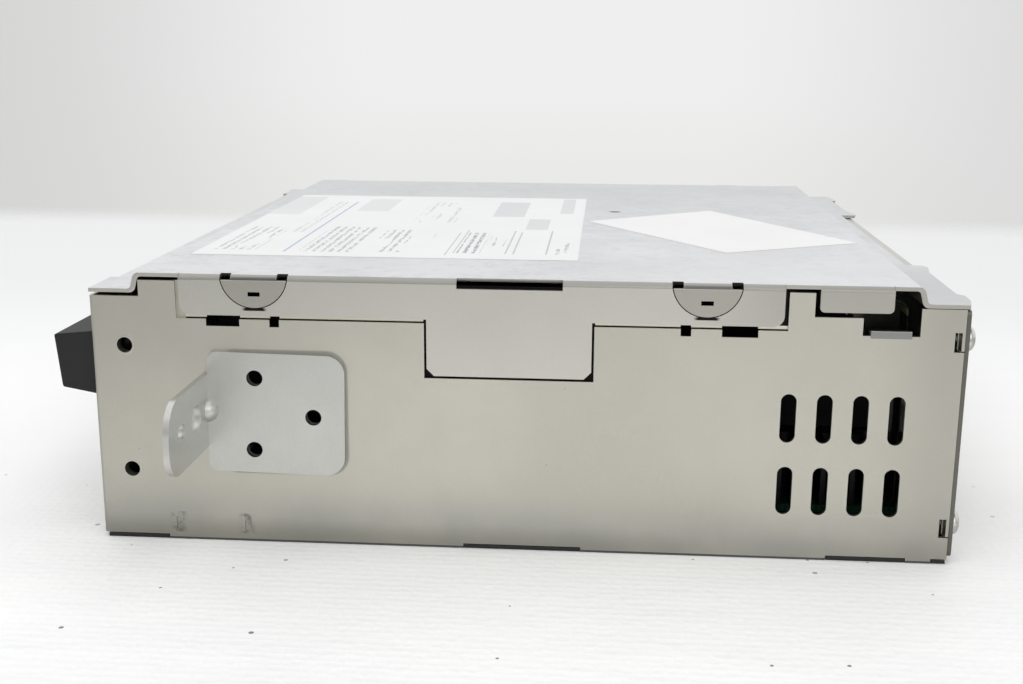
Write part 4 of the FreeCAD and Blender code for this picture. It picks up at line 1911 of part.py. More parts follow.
NODES = {
    "chassis_frame": chassis_frame,
    "bottom_cover": bottom_cover,
    "top_cover": top_cover,
    "rear_plate": rear_plate,
    "rear_plate_screws": rear_plate_screws,
    "left_bracket": left_bracket,
    "right_bracket": right_bracket,
    "slot_nose": slot_nose,
    "slot_door": slot_door,
    "door_spring": door_spring,
    "eject_button": eject_button,
    "eject_button_spring": eject_button_spring,
    "eject_switch": eject_switch,
    "front_board": front_board,
    "front_board_cable": front_board_cable,
    "main_board": main_board,
    "short_screws": short_screws,
    "board_chips": board_chips,
    "capacitors": capacitors,
    "shield_can": shield_can,
    "heat_sink": heat_sink,
    "power_transistors": power_transistors,
    "power_connector": power_connector,
    "video_connector": video_connector,
    "control_connector": control_connector,
    "upper_connector": upper_connector,
    "connector_pins": connector_pins,
    "riser_board": riser_board,
    "pickup_flex_cable": pickup_flex_cable,
    "deck_flex_cable": deck_flex_cable,
    "deck_posts": deck_posts,
    "deck_dampers": deck_dampers,
    "damper_screws": damper_screws,
    "deck_base": deck_base,
    "mechanism_pins": mechanism_pins,
    "upper_disc_guide": upper_disc_guide,
    "roller_arm": roller_arm,
    "roller_shaft": roller_shaft,
    "roller_sleeves": roller_sleeves,
    "roller_gear": roller_gear,
    "idler_gear": idler_gear,
    "reduction_gear": reduction_gear,
    "loading_motor": loading_motor,
    "motor_pinion": motor_pinion,
    "cam_slider": cam_slider,
    "clamp_arm": clamp_arm,
    "clamp_arm_pins": clamp_arm_pins,
    "clamper": clamper,
    "traverse_frame": traverse_frame,
    "traverse_washers": traverse_washers,
    "guide_rods": guide_rods,
    "spindle_motor": spindle_motor,
    "turntable": turntable,
    "pickup_sled": pickup_sled,
    "objective_lens": objective_lens,
    "feed_gear": feed_gear,
    "feed_motor": feed_motor,
    "feed_pinion": feed_pinion,
    "rating_label": rating_label,
    "service_sticker": service_sticker,
}

os.makedirs("parts", exist_ok=True)
for name, make in NODES.items():
    make().exportStep("parts/" + name + ".step")
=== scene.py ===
import math
import bmesh
import bpy
from mathutils import Matrix, Vector


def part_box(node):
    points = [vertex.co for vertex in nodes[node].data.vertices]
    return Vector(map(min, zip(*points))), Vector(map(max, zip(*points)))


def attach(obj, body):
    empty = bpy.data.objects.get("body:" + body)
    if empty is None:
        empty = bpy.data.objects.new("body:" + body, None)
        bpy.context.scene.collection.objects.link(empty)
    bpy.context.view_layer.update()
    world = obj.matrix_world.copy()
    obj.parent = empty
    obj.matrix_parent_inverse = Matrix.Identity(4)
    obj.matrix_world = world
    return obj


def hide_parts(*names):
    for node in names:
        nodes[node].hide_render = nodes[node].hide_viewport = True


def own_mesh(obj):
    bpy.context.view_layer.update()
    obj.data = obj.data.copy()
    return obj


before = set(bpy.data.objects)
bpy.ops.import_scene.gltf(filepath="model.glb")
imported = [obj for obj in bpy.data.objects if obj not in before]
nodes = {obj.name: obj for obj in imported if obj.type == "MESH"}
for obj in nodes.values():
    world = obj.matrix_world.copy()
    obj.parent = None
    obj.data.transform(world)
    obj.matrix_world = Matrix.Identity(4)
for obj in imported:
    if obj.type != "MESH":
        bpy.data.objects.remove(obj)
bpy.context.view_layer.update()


# Camera
# A 46 mm lens a quarter of a metre in front of the wall at -Y and a little above the lid, aimed about
# thirteen degrees down and four to the left, so that the wall, the lid and the nose's end are in view.
lens_data = bpy.data.cameras.new("camera")
lens_data.sensor_width = 36.0
lens_data.lens = 45.551
lens_data.clip_start = 0.01
lens_data.clip_end = 20.0
camera = bpy.data.objects.new("camera", lens_data)
bpy.context.scene.collection.objects.link(camera)
sight_right = Vector((0.99722672, 0.07422148, 0.00548082))
sight_up = Vector((-0.0224074, 0.22920261, 0.97312079))
sight_back = Vector((0.07097025, -0.97054486, 0.23023008))
turned = Matrix((sight_right, sight_up, sight_back)).transposed().to_4x4()
stands_at = (0.017548, -0.344535, 0.105678)
camera.matrix_world = Matrix.Translation(stands_at) @ turned
bpy.context.scene.camera = camera
bpy.context.scene.view_settings.view_transform = "Standard"


# Table top and studio
# The player stands on a white painted board whose far edge fades into a pale wall. Broad soft lights
# above and in front leave only a faint shadow round its foot; the room behind the camera is dim.
def feed(socket, source):
    """Links a socket to another one, or gives it a plain value."""
    if isinstance(source, bpy.types.NodeSocket):
        socket.id_data.links.new(source, socket)
    else:
        socket.default_value = source


def put(tree, kind, inputs=None, **settings):
    node = tree.nodes.new(kind)
    for name, value in settings.items():
        setattr(node, name, value)
    for name, source in (inputs or {}).items():
        feed(node.inputs[name], source)
    return node


def calc(tree, operation, *terms):
    node = put(tree, "ShaderNodeMath", operation=operation)
    for socket, term in zip(node.inputs, terms):
        feed(socket, term)
    return node.outputs[0]


def span(tree, value, low, high, start=0.0, end=1.0):
    """Follows a value smoothly from start to end while it goes from low to high."""
    node = put(tree, "ShaderNodeMapRange", {"Value": value, "From Min": low, "From Max": high,
                                            "To Min": start, "To Max": end},
               interpolation_type="SMOOTHSTEP")
    return node.outputs["Result"]


def mixed(tree, share, first, second):
    node = put(tree, "ShaderNodeMix", data_type="RGBA")
    feed(node.inputs[0], share)
    feed(node.inputs[6], first)
    feed(node.inputs[7], second)
    return node.outputs[2]


def tinted(tree, colour, mask, share, tone):
    """The colour, moved by this share towards a tone where the mask is one."""
    return mixed(tree, calc(tree, "MULTIPLY", mask, share), colour, tone)


def above(tree, value, limit):
    return calc(tree, "GREATER_THAN", value, limit)


def below(tree, value, limit):
    return calc(tree, "LESS_THAN", value, limit)


def all_of(tree, first, *others):
    """One where every mask is one."""
    for other in others:
        first = calc(tree, "MULTIPLY", first, other)
    return first


def distance_from(tree, value, middle):
    return calc(tree, "ABSOLUTE", calc(tree, "SUBTRACT", value, middle))


def noise(tree, place, size, detail=2.0, roughness=0.5):
    """Cloudy pattern whose patches are about this size in metres."""
    node = put(tree, "ShaderNodeTexNoise", {"Vector": place, "Scale": 1.0 / size, "Detail": detail,
                                            "Roughness": roughness})
    return node.outputs["Fac"]


def parts_of(tree, place):
    return put(tree, "ShaderNodeSeparateXYZ", {"Vector": place}).outputs


def new_finish(name, **plain):
    """A material with its shader's plain values, and the place on the object in metres."""
    finish = bpy.data.materials.new(name)
    finish.use_nodes = True
    tree = finish.node_tree
    shader = tree.nodes["Principled BSDF"]
    for socket, value in plain.items():
        shader.inputs[socket.replace("_", " ")].default_value = value
    place = put(tree, "ShaderNodeTexCoord").outputs["Object"]
    return finish, tree, shader, place


def new_piece(name, mesh, finish):
    piece = bpy.data.objects.new(name, mesh)
    bpy.context.scene.collection.objects.link(piece)
    mesh.materials.clear()
    mesh.materials.append(finish)
    return piece


TABLE_HALF = 2.4
TABLE_FAR_EDGE = 0.45
TABLE_DROP = 0.00005
TABLE_FADE = 0.08
PALE_PAINT = (1.0, 1.0, 0.99, 1)
GREY_PAINT = (0.91, 0.912, 0.912, 1)
FAR_SHADE_PAINT = (0.85, 0.85, 0.85, 1)
MIRRORED_PAINT = (0.93, 0.925, 0.90, 1)
FLECK_CELLS = 85.0
FLECK_SHARE = 0.22
DOT_CELLS = 440.0
white_paint, tree, shader, place = new_finish("white_paint", Roughness=0.62)
axes = parts_of(tree, place)
nearness = span(tree, axes["Y"], 0.02, -0.16)
# The brush has left ridges along the board with a fine dapple on them, and the coat is uneven.
stretched = put(tree, "ShaderNodeMapping", {"Vector": place, "Scale": (0.35, 1.0, 1.0)}).outputs["Vector"]
ridges = noise(tree, stretched, 0.012, 5.0, 0.62)
dapple = noise(tree, place, 0.0022, 3.0, 0.6)
clouds = noise(tree, place, 0.16, 3.0)
relief = calc(tree, "ADD", ridges, calc(tree, "MULTIPLY", dapple, 0.28))
tone = calc(tree, "MULTIPLY_ADD", ridges, 0.35, calc(tree, "MULTIPLY", clouds, 0.65))
uneven = calc(tree, "MULTIPLY", span(tree, tone, 0.66, 0.34), calc(tree, "MULTIPLY_ADD", nearness, 0.7, 0.3))
shown = mixed(tree, uneven, PALE_PAINT, GREY_PAINT)
# Farther back the board is painted greyer, as painted shade.
shown = mixed(tree, span(tree, axes["Y"], -0.02, 0.22), shown, FAR_SHADE_PAINT)
# Dark flecks lie about in front of the player.
flecks = put(tree, "ShaderNodeTexVoronoi", {"Vector": place, "Scale": FLECK_CELLS}, voronoi_dimensions="2D")
fleck_pick = put(tree, "ShaderNodeSeparateColor", {"Color": flecks.outputs["Color"]}).outputs
fleck_reach = calc(tree, "MULTIPLY_ADD", fleck_pick["Green"], 0.032, 0.018)
fleck = all_of(tree, below(tree, flecks.outputs["Distance"], fleck_reach),
               below(tree, fleck_pick["Red"], FLECK_SHARE), nearness)
shown = tinted(tree, shown, fleck, 0.92, (0.13, 0.13, 0.13, 1))
# The board as the player's steel mirrors it is painted darker at its foot, far to the front and off to the
# sides: painted shade seen only in reflections.
sideways = distance_from(tree, axes["X"], 0.03)
mirrored_shade = all_of(tree, span(tree, axes["Y"], -0.17, -0.42, 1.0, 0.62),
                 span(tree, sideways, 0.05, 0.24, 1.0, 0.60),
                 span(tree, axes["Y"], -0.13, -0.092, 1.0, 0.66))
mirrored = mixed(tree, mirrored_shade, (0.0, 0.0, 0.0, 1), MIRRORED_PAINT)
seen_by_camera = put(tree, "ShaderNodeLightPath").outputs["Is Camera Ray"]
feed(shader.inputs["Base Color"], mixed(tree, seen_by_camera, mirrored, shown))
bump = put(tree, "ShaderNodeBump", {"Height": relief, "Distance": 0.0011,
                                    "Strength": calc(tree, "MULTIPLY", nearness, 0.5)})
# Close by, the paint has a faint embossed pattern of dots.
dots = put(tree, "ShaderNodeTexVoronoi", {"Vector": place, "Scale": DOT_CELLS, "Randomness": 0.35})
dotted = put(tree, "ShaderNodeBump", {"Height": dots.outputs["Distance"], "Distance": 0.0005,
                                      "Strength": calc(tree, "MULTIPLY", nearness, 0.55),
                                      "Normal": bump.outputs["Normal"]})
feed(shader.inputs["Normal"], dotted.outputs["Normal"])
# The far edge fades into the wall behind.
edge_fade = span(tree, axes["Y"], TABLE_FAR_EDGE - 0.005, TABLE_FAR_EDGE - 0.005 - TABLE_FADE)
see_through = put(tree, "ShaderNodeBsdfTransparent")
fade = put(tree, "ShaderNodeMixShader", {"Fac": edge_fade})
feed(fade.inputs[1], see_through.outputs[0])
feed(fade.inputs[2], shader.outputs[0])
feed(tree.nodes["Material Output"].inputs["Surface"], fade.outputs[0])
table_mesh = bpy.data.meshes.new("table_top")
table_corners = [(-TABLE_HALF, -TABLE_HALF), (TABLE_HALF, -TABLE_HALF),
                 (TABLE_HALF, TABLE_FAR_EDGE), (-TABLE_HALF, TABLE_FAR_EDGE)]
table_mesh.from_pydata([(x, y, -TABLE_DROP) for x, y in table_corners], [], [(0, 1, 2, 3)])
new_piece("table_top", table_mesh, white_paint)

studio = bpy.data.worlds.new("studio")
bpy.context.scene.world = studio
studio.use_nodes = True
tree = studio.node_tree
tree.nodes.clear()
path = put(tree, "ShaderNodeLightPath")
seen = calc(tree, "MAXIMUM", path.outputs["Is Camera Ray"], path.outputs["Is Transmission Ray"])
way = parts_of(tree, put(tree, "ShaderNodeTexCoord").outputs["Generated"])
# The wall that the camera sees is a little darker near the table and to both sides.
wall = mixed(tree, span(tree, way["Z"], -0.16, -0.02), (0.80, 0.80, 0.775, 1), (0.86, 0.865, 0.86, 1))
wall = mixed(tree, span(tree, way["X"], -0.16, -0.46), wall, (0.665, 0.67, 0.66, 1))
wall = mixed(tree, span(tree, way["X"], 0.06, 0.36), wall, (0.70, 0.705, 0.70, 1))
# Glossy surfaces mirror a bright wall behind the player, a dim room behind the camera, and overhead only
# the ceiling panel itself.
behind = span(tree, way["Y"], -0.55, 0.35)
low_room = mixed(tree, behind, (0.46, 0.455, 0.435, 1), (0.93, 0.935, 0.94, 1))
high_room = mixed(tree, behind, (0.66, 0.66, 0.65, 1), (0.98, 0.985, 1.0, 1))
mirrored_room = mixed(tree, span(tree, way["Z"], 0.0, 0.6), low_room, high_room)
mirrored_room = mixed(tree, span(tree, way["Z"], 0.58, 0.82), mirrored_room, (0.14, 0.14, 0.14, 1))
room = mixed(tree, path.outputs["Is Glossy Ray"], (0.62, 0.625, 0.63, 1), mirrored_room)
sky = put(tree, "ShaderNodeBackground", {"Color": mixed(tree, seen, room, wall), "Strength": 1.0})
feed(put(tree, "ShaderNodeOutputWorld").inputs["Surface"], sky.outputs[0])


def soft_light(name, place_at, aim, width, depth, watts):
    data = bpy.data.lights.new(name, "AREA")
    data.shape = "RECTANGLE"
    data.size = width
    data.size_y = depth
    data.energy = watts
    lamp = bpy.data.objects.new(name, data)
    bpy.context.scene.collection.objects.link(lamp)
    turn = (Vector(aim) - Vector(place_at)).to_track_quat("-Z", "Y").to_matrix().to_4x4()
    lamp.matrix_world = Matrix.Translation(place_at) @ turn


soft_light("ceiling_panel", (-0.15, 0.0, 1.3), (0.0, 0.0, 0.0), width=2.4, depth=2.0, watts=12.9)
soft_light("front_panel", (0.6, -1.5, 0.75), (0.0, 0.0, 0.03), width=1.6, depth=1.2, watts=4.5)


# Folded case
# Front wall and two side walls folded from one piece of 0.8 mm zinc-plated steel. The plating is a warm
# satin grey with a fine grain, cloudy where hands have touched it, with a painted highlight along the
# sheared edges.
def new_group(name, inputs, outputs):
    tree = bpy.data.node_groups.new(name, "ShaderNodeTree")
    for label, kind, value in inputs:
        socket = tree.interface.new_socket(label, in_out="INPUT", socket_type=kind)
        if value is not None:
            socket.default_value = value
    for label in outputs:
        tree.interface.new_socket(label, in_out="OUTPUT", socket_type="NodeSocketFloat")
    return tree, tree.nodes.new("NodeGroupInput").outputs, tree.nodes.new("NodeGroupOutput").inputs


def use_group(tree, group, **inputs):
    node = tree.nodes.new("ShaderNodeGroup")
    node.node_tree = group
    for label, source in inputs.items():
        feed(node.inputs[label.replace("_", " ")], source)
    return node.outputs


NUMBER = "NodeSocketFloat"
PLACE = "NodeSocketVector"
plating_grain, given, gives = new_group(
    "plating_grain", [("Place", PLACE, None), ("Grain Size", NUMBER, 0.0004),
                      ("Cloud Size", NUMBER, 0.03)], ["Grain", "Clouds"])
grain_noise = put(plating_grain, "ShaderNodeTexNoise", {
    "Vector": given["Place"], "Scale": calc(plating_grain, "DIVIDE", 1.0, given["Grain Size"]),
    "Detail": 3.0, "Roughness": 0.7})
cloud_noise = put(plating_grain, "ShaderNodeTexNoise", {
    "Vector": given["Place"], "Scale": calc(plating_grain, "DIVIDE", 1.0, given["Cloud Size"]),
    "Detail": 4.0, "Roughness": 0.6})
feed(gives["Grain"], grain_noise.outputs["Fac"])
feed(gives["Clouds"], span(plating_grain, cloud_noise.outputs["Fac"], 0.30, 0.70))

specks, given, gives = new_group(
    "specks", [("Place", PLACE, None), ("Spacing", NUMBER, 0.004),
               ("Size", NUMBER, 0.06), ("Share", NUMBER, 0.3)], ["Mask"])
cells = put(specks, "ShaderNodeTexVoronoi", {
    "Vector": given["Place"], "Scale": calc(specks, "DIVIDE", 1.0, given["Spacing"])})
pick = put(specks, "ShaderNodeSeparateColor", {"Color": cells.outputs["Color"]}).outputs
reach = calc(specks, "MULTIPLY", given["Size"], calc(specks, "MULTIPLY_ADD", pick["Green"], 0.8, 0.2))
inside = span(specks, cells.outputs["Distance"], reach, calc(specks, "MULTIPLY", reach, 0.6))
feed(gives["Mask"], calc(specks, "MULTIPLY", inside, calc(specks, "LESS_THAN", pick["Red"], given["Share"])))

scuffs, given, gives = new_group(
    "scuffs", [("Place", PLACE, None), ("Size", NUMBER, 0.01), ("Share", NUMBER, 0.4)], ["Mask"])
streaks = put(scuffs, "ShaderNodeTexNoise", {
    "Vector": given["Place"], "Scale": calc(scuffs, "DIVIDE", 2.6, given["Size"]), "Detail": 6.0,
    "Roughness": 0.72, "Distortion": 1.4})
patch = put(scuffs, "ShaderNodeTexNoise", {
    "Vector": given["Place"], "Scale": calc(scuffs, "DIVIDE", 0.45, given["Size"]), "Detail": 2.0})
ridge = span(scuffs, distance_from(scuffs, streaks.outputs["Fac"], 0.5), 0.05, 0.0)
near_patch = span(scuffs, patch.outputs["Fac"], calc(scuffs, "SUBTRACT", 1.0, given["Share"]), 1.0)
feed(gives["Mask"], calc(scuffs, "MULTIPLY", ridge, near_patch))


def embossed(tree, shader, height, depth, strength):
    """Relief of this depth in metres."""
    bump = put(tree, "ShaderNodeBump", {"Height": height, "Distance": depth, "Strength": strength})
    feed(shader.inputs["Normal"], bump.outputs["Normal"])


def plated_sheet(name, bright, dull, rubbed, roughness, grain_size=0.0004, cloud_size=0.03,
                 speck_share=0.25, scuff_share=0.45, cloud_depth=0.6):
    """Zinc or nickel plate: two shades in clouds, a fine grain, dark specks, and light rubbed marks."""
    finish, tree, shader, place = new_finish(name, Metallic=1.0)
    skin = use_group(tree, plating_grain, Place=place, Grain_Size=grain_size, Cloud_Size=cloud_size)
    dots = use_group(tree, specks, Place=place, Spacing=0.0048, Size=0.055, Share=speck_share)["Mask"]
    marks = use_group(tree, scuffs, Place=place, Size=cloud_size * 0.5, Share=scuff_share)["Mask"]
    shade = calc(tree, "MULTIPLY_ADD", skin["Clouds"], cloud_depth,
                 calc(tree, "MULTIPLY", skin["Grain"], 1.0 - cloud_depth))
    colour = mixed(tree, shade, bright, dull)
    colour = tinted(tree, colour, marks, 0.55, rubbed)
    # The rounded sheared edges are tinted pale cream, a painted highlight.
    painted_edge_highlight = put(tree, "ShaderNodeAttribute", attribute_name="painted_edge_highlight").outputs["Fac"]
    colour = tinted(tree, colour, painted_edge_highlight, 0.8, (0.93, 0.91, 0.85, 1))
    colour = tinted(tree, colour, dots, 0.7, (0.16, 0.15, 0.14, 1))
    feed(shader.inputs["Base Color"], colour)
    rough = calc(tree, "MULTIPLY_ADD", skin["Grain"], 0.16, roughness - 0.08)
    feed(shader.inputs["Roughness"], calc(tree, "MULTIPLY_ADD", marks, 0.12, rough))
    embossed(tree, shader, skin["Grain"], 0.00003, 0.35)
    return finish, tree, shader, place, colour


SHARP_CORNER = math.radians(28.0)


def softened(node_name, piece_name, body, finish, width=0.00016, steps=2):
    """The node's own solid with its sheared edges rounded, which stands for the node."""
    mesh = nodes[node_name].data.copy()
    mesh.name = piece_name
    work = bmesh.new()
    work.from_mesh(mesh)
    bmesh.ops.remove_doubles(work, verts=work.verts, dist=0.000002)
    bmesh.ops.dissolve_limit(work, angle_limit=math.radians(0.5), verts=work.verts, edges=work.edges)
    for face in work.faces:
        face.smooth = True
    mark = work.faces.layers.float.new("painted_edge_highlight")
    rims = [e for e in work.edges if len(e.link_faces) == 2 and e.calc_face_angle(0.0) > SHARP_CORNER]
    made = bmesh.ops.bevel(work, geom=rims, offset=width, offset_type="OFFSET", segments=steps,
                           profile=0.6, affect="EDGES", clamp_overlap=True, loop_slide=True)
    for face in made["faces"]:
        face[mark] = 1.0
    bmesh.ops.triangulate(work, faces=[f for f in work.faces if len(f.verts) > 4])
    work.to_mesh(mesh)
    work.free()
    if "custom_normal" in mesh.attributes:
        mesh.attributes.remove(mesh.attributes["custom_normal"])
    mesh.set_sharp_from_angle(angle=math.radians(32.0))
    piece = new_piece(piece_name, mesh, finish)
    even = piece.modifiers.new("even_faces", "WEIGHTED_NORMAL")
    even.keep_sharp = True
    even.weight = 90
    graph = bpy.context.evaluated_depsgraph_get()
    piece.data = bpy.data.meshes.new_from_object(piece.evaluated_get(graph), depsgraph=graph)
    piece.modifiers.remove(even)
    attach(piece, body)
    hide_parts(node_name)


def between(tree, value, low, high):
    return all_of(tree, above(tree, value, low), below(tree, value, high))


WALL_TINT = (0.690, 0.675, 0.605, 1)
WALL_SHADE = (0.610, 0.597, 0.532, 1)
PAINTED_DARK = (0.045, 0.045, 0.048, 1)
LIP_HIGHLIGHT = (0.86, 0.83, 0.72, 1)
DEEP_SHADE = (0.012, 0.012, 0.012, 1)
PAD_MIDDLE_X, PAD_MIDDLE_Z = -0.04915, 0.0288
PAD_HALF_LENGTH, PAD_HALF_HEIGHT = 0.01365, 0.0131
PAD_CORNER = 0.004
DIMPLES_X = (-0.0724, -0.0575)
DIMPLE_FOOT, DIMPLE_TOP = 0.0016, 0.0062
POCKET_FRONT, POCKET_REAR = -0.0688, 0.0544
POCKET_FOOT = 0.0366
TONGUE_FRONT, TONGUE_REAR = -0.0193, 0.0158
LIP_FOOT, LIP_TOP = 0.04875, 0.04945
LATCHES_X = (-0.05415, 0.03807)
LATCH_HALF_WIDTH = 0.00715
LATCH_FOOT, LATCH_TOP = 0.0500, 0.0566
TAB_FRONT, TAB_REAR = 0.0705, 0.0787
TAB_FOOT, TAB_TOP = 0.0474, 0.0488
WALL_FACE = 0.0890
case_steel, tree, shader, place, colour = plated_sheet(
    "case_steel", WALL_TINT, WALL_SHADE, (0.78, 0.765, 0.70, 1), 0.42, speck_share=0.35)
spot = parts_of(tree, place)
outward = calc(tree, "ABSOLUTE", spot["Y"])
# The foot is smeared grey by handling and tarnish clouds the sheet; the rear end and the foot are painted
# darker, as painted shade.
smear = calc(tree, "MULTIPLY", span(tree, spot["Z"], 0.0135, 0.001),
             span(tree, noise(tree, place, 0.02, 3.0), 0.25, 0.62))
colour = tinted(tree, colour, smear, 0.7, (0.44, 0.45, 0.46, 1))
tarnish = span(tree, noise(tree, place, 0.07, 2.0), 0.42, 0.62)
colour = tinted(tree, colour, tarnish, 0.30, (0.52, 0.505, 0.455, 1))
colour = tinted(tree, colour, span(tree, spot["X"], 0.070, 0.088), 0.45, (0.42, 0.41, 0.37, 1))
foot_shade_share = calc(tree, "MULTIPLY_ADD", span(tree, spot["X"], 0.0, 0.05), -0.35, 0.5)
colour = tinted(tree, colour, span(tree, spot["Z"], 0.0060, 0.0012), foot_shade_share, (0.36, 0.345, 0.28, 1))
# Round the bracket's pad and along the resting edge a thin dark line of painted shade is drawn.
pad_x = calc(tree, "SUBTRACT", distance_from(tree, spot["X"], PAD_MIDDLE_X), PAD_HALF_LENGTH - PAD_CORNER)
pad_z = calc(tree, "SUBTRACT", distance_from(tree, spot["Z"], PAD_MIDDLE_Z), PAD_HALF_HEIGHT - PAD_CORNER)
beyond_pad = put(tree, "ShaderNodeCombineXYZ", {"X": calc(tree, "MAXIMUM", pad_x, 0.0),
                                                "Y": calc(tree, "MAXIMUM", pad_z, 0.0)}).outputs[0]
pad_far = put(tree, "ShaderNodeVectorMath", {0: beyond_pad}, operation="LENGTH").outputs["Value"]
pad_rim_shade = span(tree, calc(tree, "SUBTRACT", pad_far, PAD_CORNER), 0.0006, 0.0001)
foot_shade_line = below(tree, spot["Z"], 0.00045)
painted_shade_and_marks = calc(tree, "MAXIMUM", calc(tree, "MULTIPLY", pad_rim_shade, 0.45), calc(tree, "MULTIPLY", foot_shade_line, 0.9))
# Blotchy dark marks are painted over the two pressed dimples near the foot.
dimple_blotches = span(tree, noise(tree, place, 0.0016, 4.0, 0.7), 0.40, 0.62)
for dimple_x in DIMPLES_X:
    mark = all_of(tree, span(tree, distance_from(tree, spot["X"], dimple_x), 0.0022, 0.0004),
                  between(tree, spot["Z"], DIMPLE_FOOT, DIMPLE_TOP), dimple_blotches)
    painted_shade_and_marks = calc(tree, "MAXIMUM", painted_shade_and_marks, calc(tree, "MULTIPLY", mark, 0.6))
colour = mixed(tree, painted_shade_and_marks, colour, PAINTED_DARK)
# The pocket behind the lid's skirt and tongue is in shade, and its lower lip catches the light.
pocket = all_of(tree, between(tree, outward, WALL_FACE - 0.0035, WALL_FACE - 0.0004),
                between(tree, spot["X"], POCKET_FRONT, POCKET_REAR), above(tree, spot["Z"], POCKET_FOOT))
off_tongue = calc(tree, "SUBTRACT", 1.0, between(tree, spot["X"], TONGUE_FRONT, TONGUE_REAR))
lip = all_of(tree, pocket, between(tree, spot["Z"], LIP_FOOT, LIP_TOP), off_tongue)
colour = mixed(tree, pocket, colour, DEEP_SHADE)
colour = mixed(tree, lip, colour, LIP_HIGHLIGHT)
# The half-round latches lean in a little, so they are a shade darker than the wall.
latch_sides = [between(tree, spot["X"], latch_x - LATCH_HALF_WIDTH, latch_x + LATCH_HALF_WIDTH)
               for latch_x in LATCHES_X]
latch = all_of(tree, above(tree, outward, WALL_FACE - 0.0005),
               between(tree, spot["Z"], LATCH_FOOT, LATCH_TOP), calc(tree, "MAXIMUM", *latch_sides))
colour = tinted(tree, colour, latch, 0.45, (0.33, 0.328, 0.305, 1))
# The tab bent inwards under the notch is lit only along its bend.
tab = all_of(tree, between(tree, outward, WALL_FACE - 0.0050, WALL_FACE + 0.0003),
             between(tree, spot["X"], TAB_FRONT, TAB_REAR), between(tree, spot["Z"], TAB_FOOT, TAB_TOP))
lit = mixed(tree, span(tree, outward, WALL_FACE - 0.0038, WALL_FACE - 0.0001), (0.010, 0.010, 0.010, 1),
            (0.27, 0.27, 0.265, 1))
colour = mixed(tree, tab, colour, lit)
feed(shader.inputs["Base Color"], colour)
feed(shader.inputs["Metallic"], calc(tree, "SUBTRACT", 1.0, calc(tree, "MAXIMUM", tab, painted_shade_and_marks)))
softened("chassis_frame", "case_walls", "case", case_steel, 0.0002)


# Bottom pan
# A shallow tray of the same plated sheet that closes the case from below, held by its turned-up rim. Its
# rim shows between the walls' foot tabs, always in shade.
def facing(tree):
    """How far each face looks along X, Y and Z, from -1 to 1."""
    return parts_of(tree, put(tree, "ShaderNodeTexCoord").outputs["Normal"])


def flat_steel(name):
    """The greyer zinc of the pan and of the plate at the rear."""
    return plated_sheet(name, (0.635, 0.625, 0.585, 1), (0.555, 0.545, 0.510, 1), (0.73, 0.72, 0.68, 1),
                        0.38, cloud_size=0.05)


RIM_TOP = 0.0026
pan_steel, tree, shader, place, colour = flat_steel("pan_steel")
spot = parts_of(tree, place)
facing_side = calc(tree, "ABSOLUTE", facing(tree)["Y"])
at_the_rim = above(tree, calc(tree, "ABSOLUTE", spot["Y"]), WALL_FACE - 0.0022)
shaded_rim = all_of(tree, below(tree, spot["Z"], RIM_TOP), above(tree, facing_side, 0.3), at_the_rim)
feed(shader.inputs["Base Color"], mixed(tree, shaded_rim, colour, (0.02, 0.02, 0.02, 1)))
feed(shader.inputs["Metallic"], calc(tree, "SUBTRACT", 1.0, shaded_rim))
softened("bottom_cover", "bottom_pan", "case", pan_steel)


# Side brackets
# One on each wall: a pad spot-welded to the wall, with a folded ear that the mounting screws go through.
# Pressed steel under bright zinc, cooler in tone than the case.
bracket_zinc = plated_sheet(
    "bracket_zinc", (0.70, 0.703, 0.68, 1), (0.61, 0.613, 0.59, 1), (0.79, 0.795, 0.77, 1), 0.36,
    grain_size=0.0007, cloud_size=0.012, cloud_depth=0.35)[0]
softened("left_bracket", "left_ear_bracket", "case", bracket_zinc)
softened("right_bracket", "right_ear_bracket", "case", bracket_zinc)


# Circuit boards
# Glass-fibre boards under a dark green lacquer, with fine copper tracks that show as paler lines and
# tinned holes. The main board lies on the pan; the riser stands at the back, the small one at the key.
def dress(finish, *names):
    """Gives the nodes' own solids this finish."""
    for name in names:
        for holder in nodes[name].material_slots:
            holder.material = finish


def stripes(tree, along, pitch, share):
    """Lines of this share of the pitch across one axis."""
    phase = calc(tree, "FRACT", calc(tree, "DIVIDE", along, pitch))
    return span(tree, distance_from(tree, phase, 0.5), share * 0.5, share * 0.5 - 0.08)


TRACK_PITCH = 0.0011
TRACK_SHARE = 0.42
board_lacquer, tree, shader, place = new_finish("board_lacquer", Coat_Weight=0.3, Coat_Roughness=0.18)
spot = parts_of(tree, place)
regions = put(tree, "ShaderNodeTexVoronoi", {"Vector": place, "Scale": 95.0}, distance="CHEBYCHEV")
lot = put(tree, "ShaderNodeSeparateColor", {"Color": regions.outputs["Color"]}).outputs
lengthwise = calc(tree, "MULTIPLY", stripes(tree, spot["Y"], TRACK_PITCH, TRACK_SHARE),
                  below(tree, lot["Red"], 0.38))
crosswise = calc(tree, "MULTIPLY", stripes(tree, spot["X"], TRACK_PITCH, TRACK_SHARE),
                 above(tree, lot["Red"], 0.62))
tracks = calc(tree, "MAXIMUM", lengthwise, crosswise)
holes = use_group(tree, specks, Place=place, Spacing=0.0031, Size=0.17, Share=0.32)["Mask"]
weave = use_group(tree, plating_grain, Place=place, Grain_Size=0.0003, Cloud_Size=0.02)
lacquer = mixed(tree, weave["Clouds"], (0.008, 0.040, 0.018, 1), (0.011, 0.052, 0.024, 1))
lacquer = mixed(tree, tracks, lacquer, (0.020, 0.095, 0.040, 1))
feed(shader.inputs["Base Color"], mixed(tree, holes, lacquer, (0.42, 0.40, 0.34, 1)))
feed(shader.inputs["Metallic"], calc(tree, "MULTIPLY", holes, 0.9))
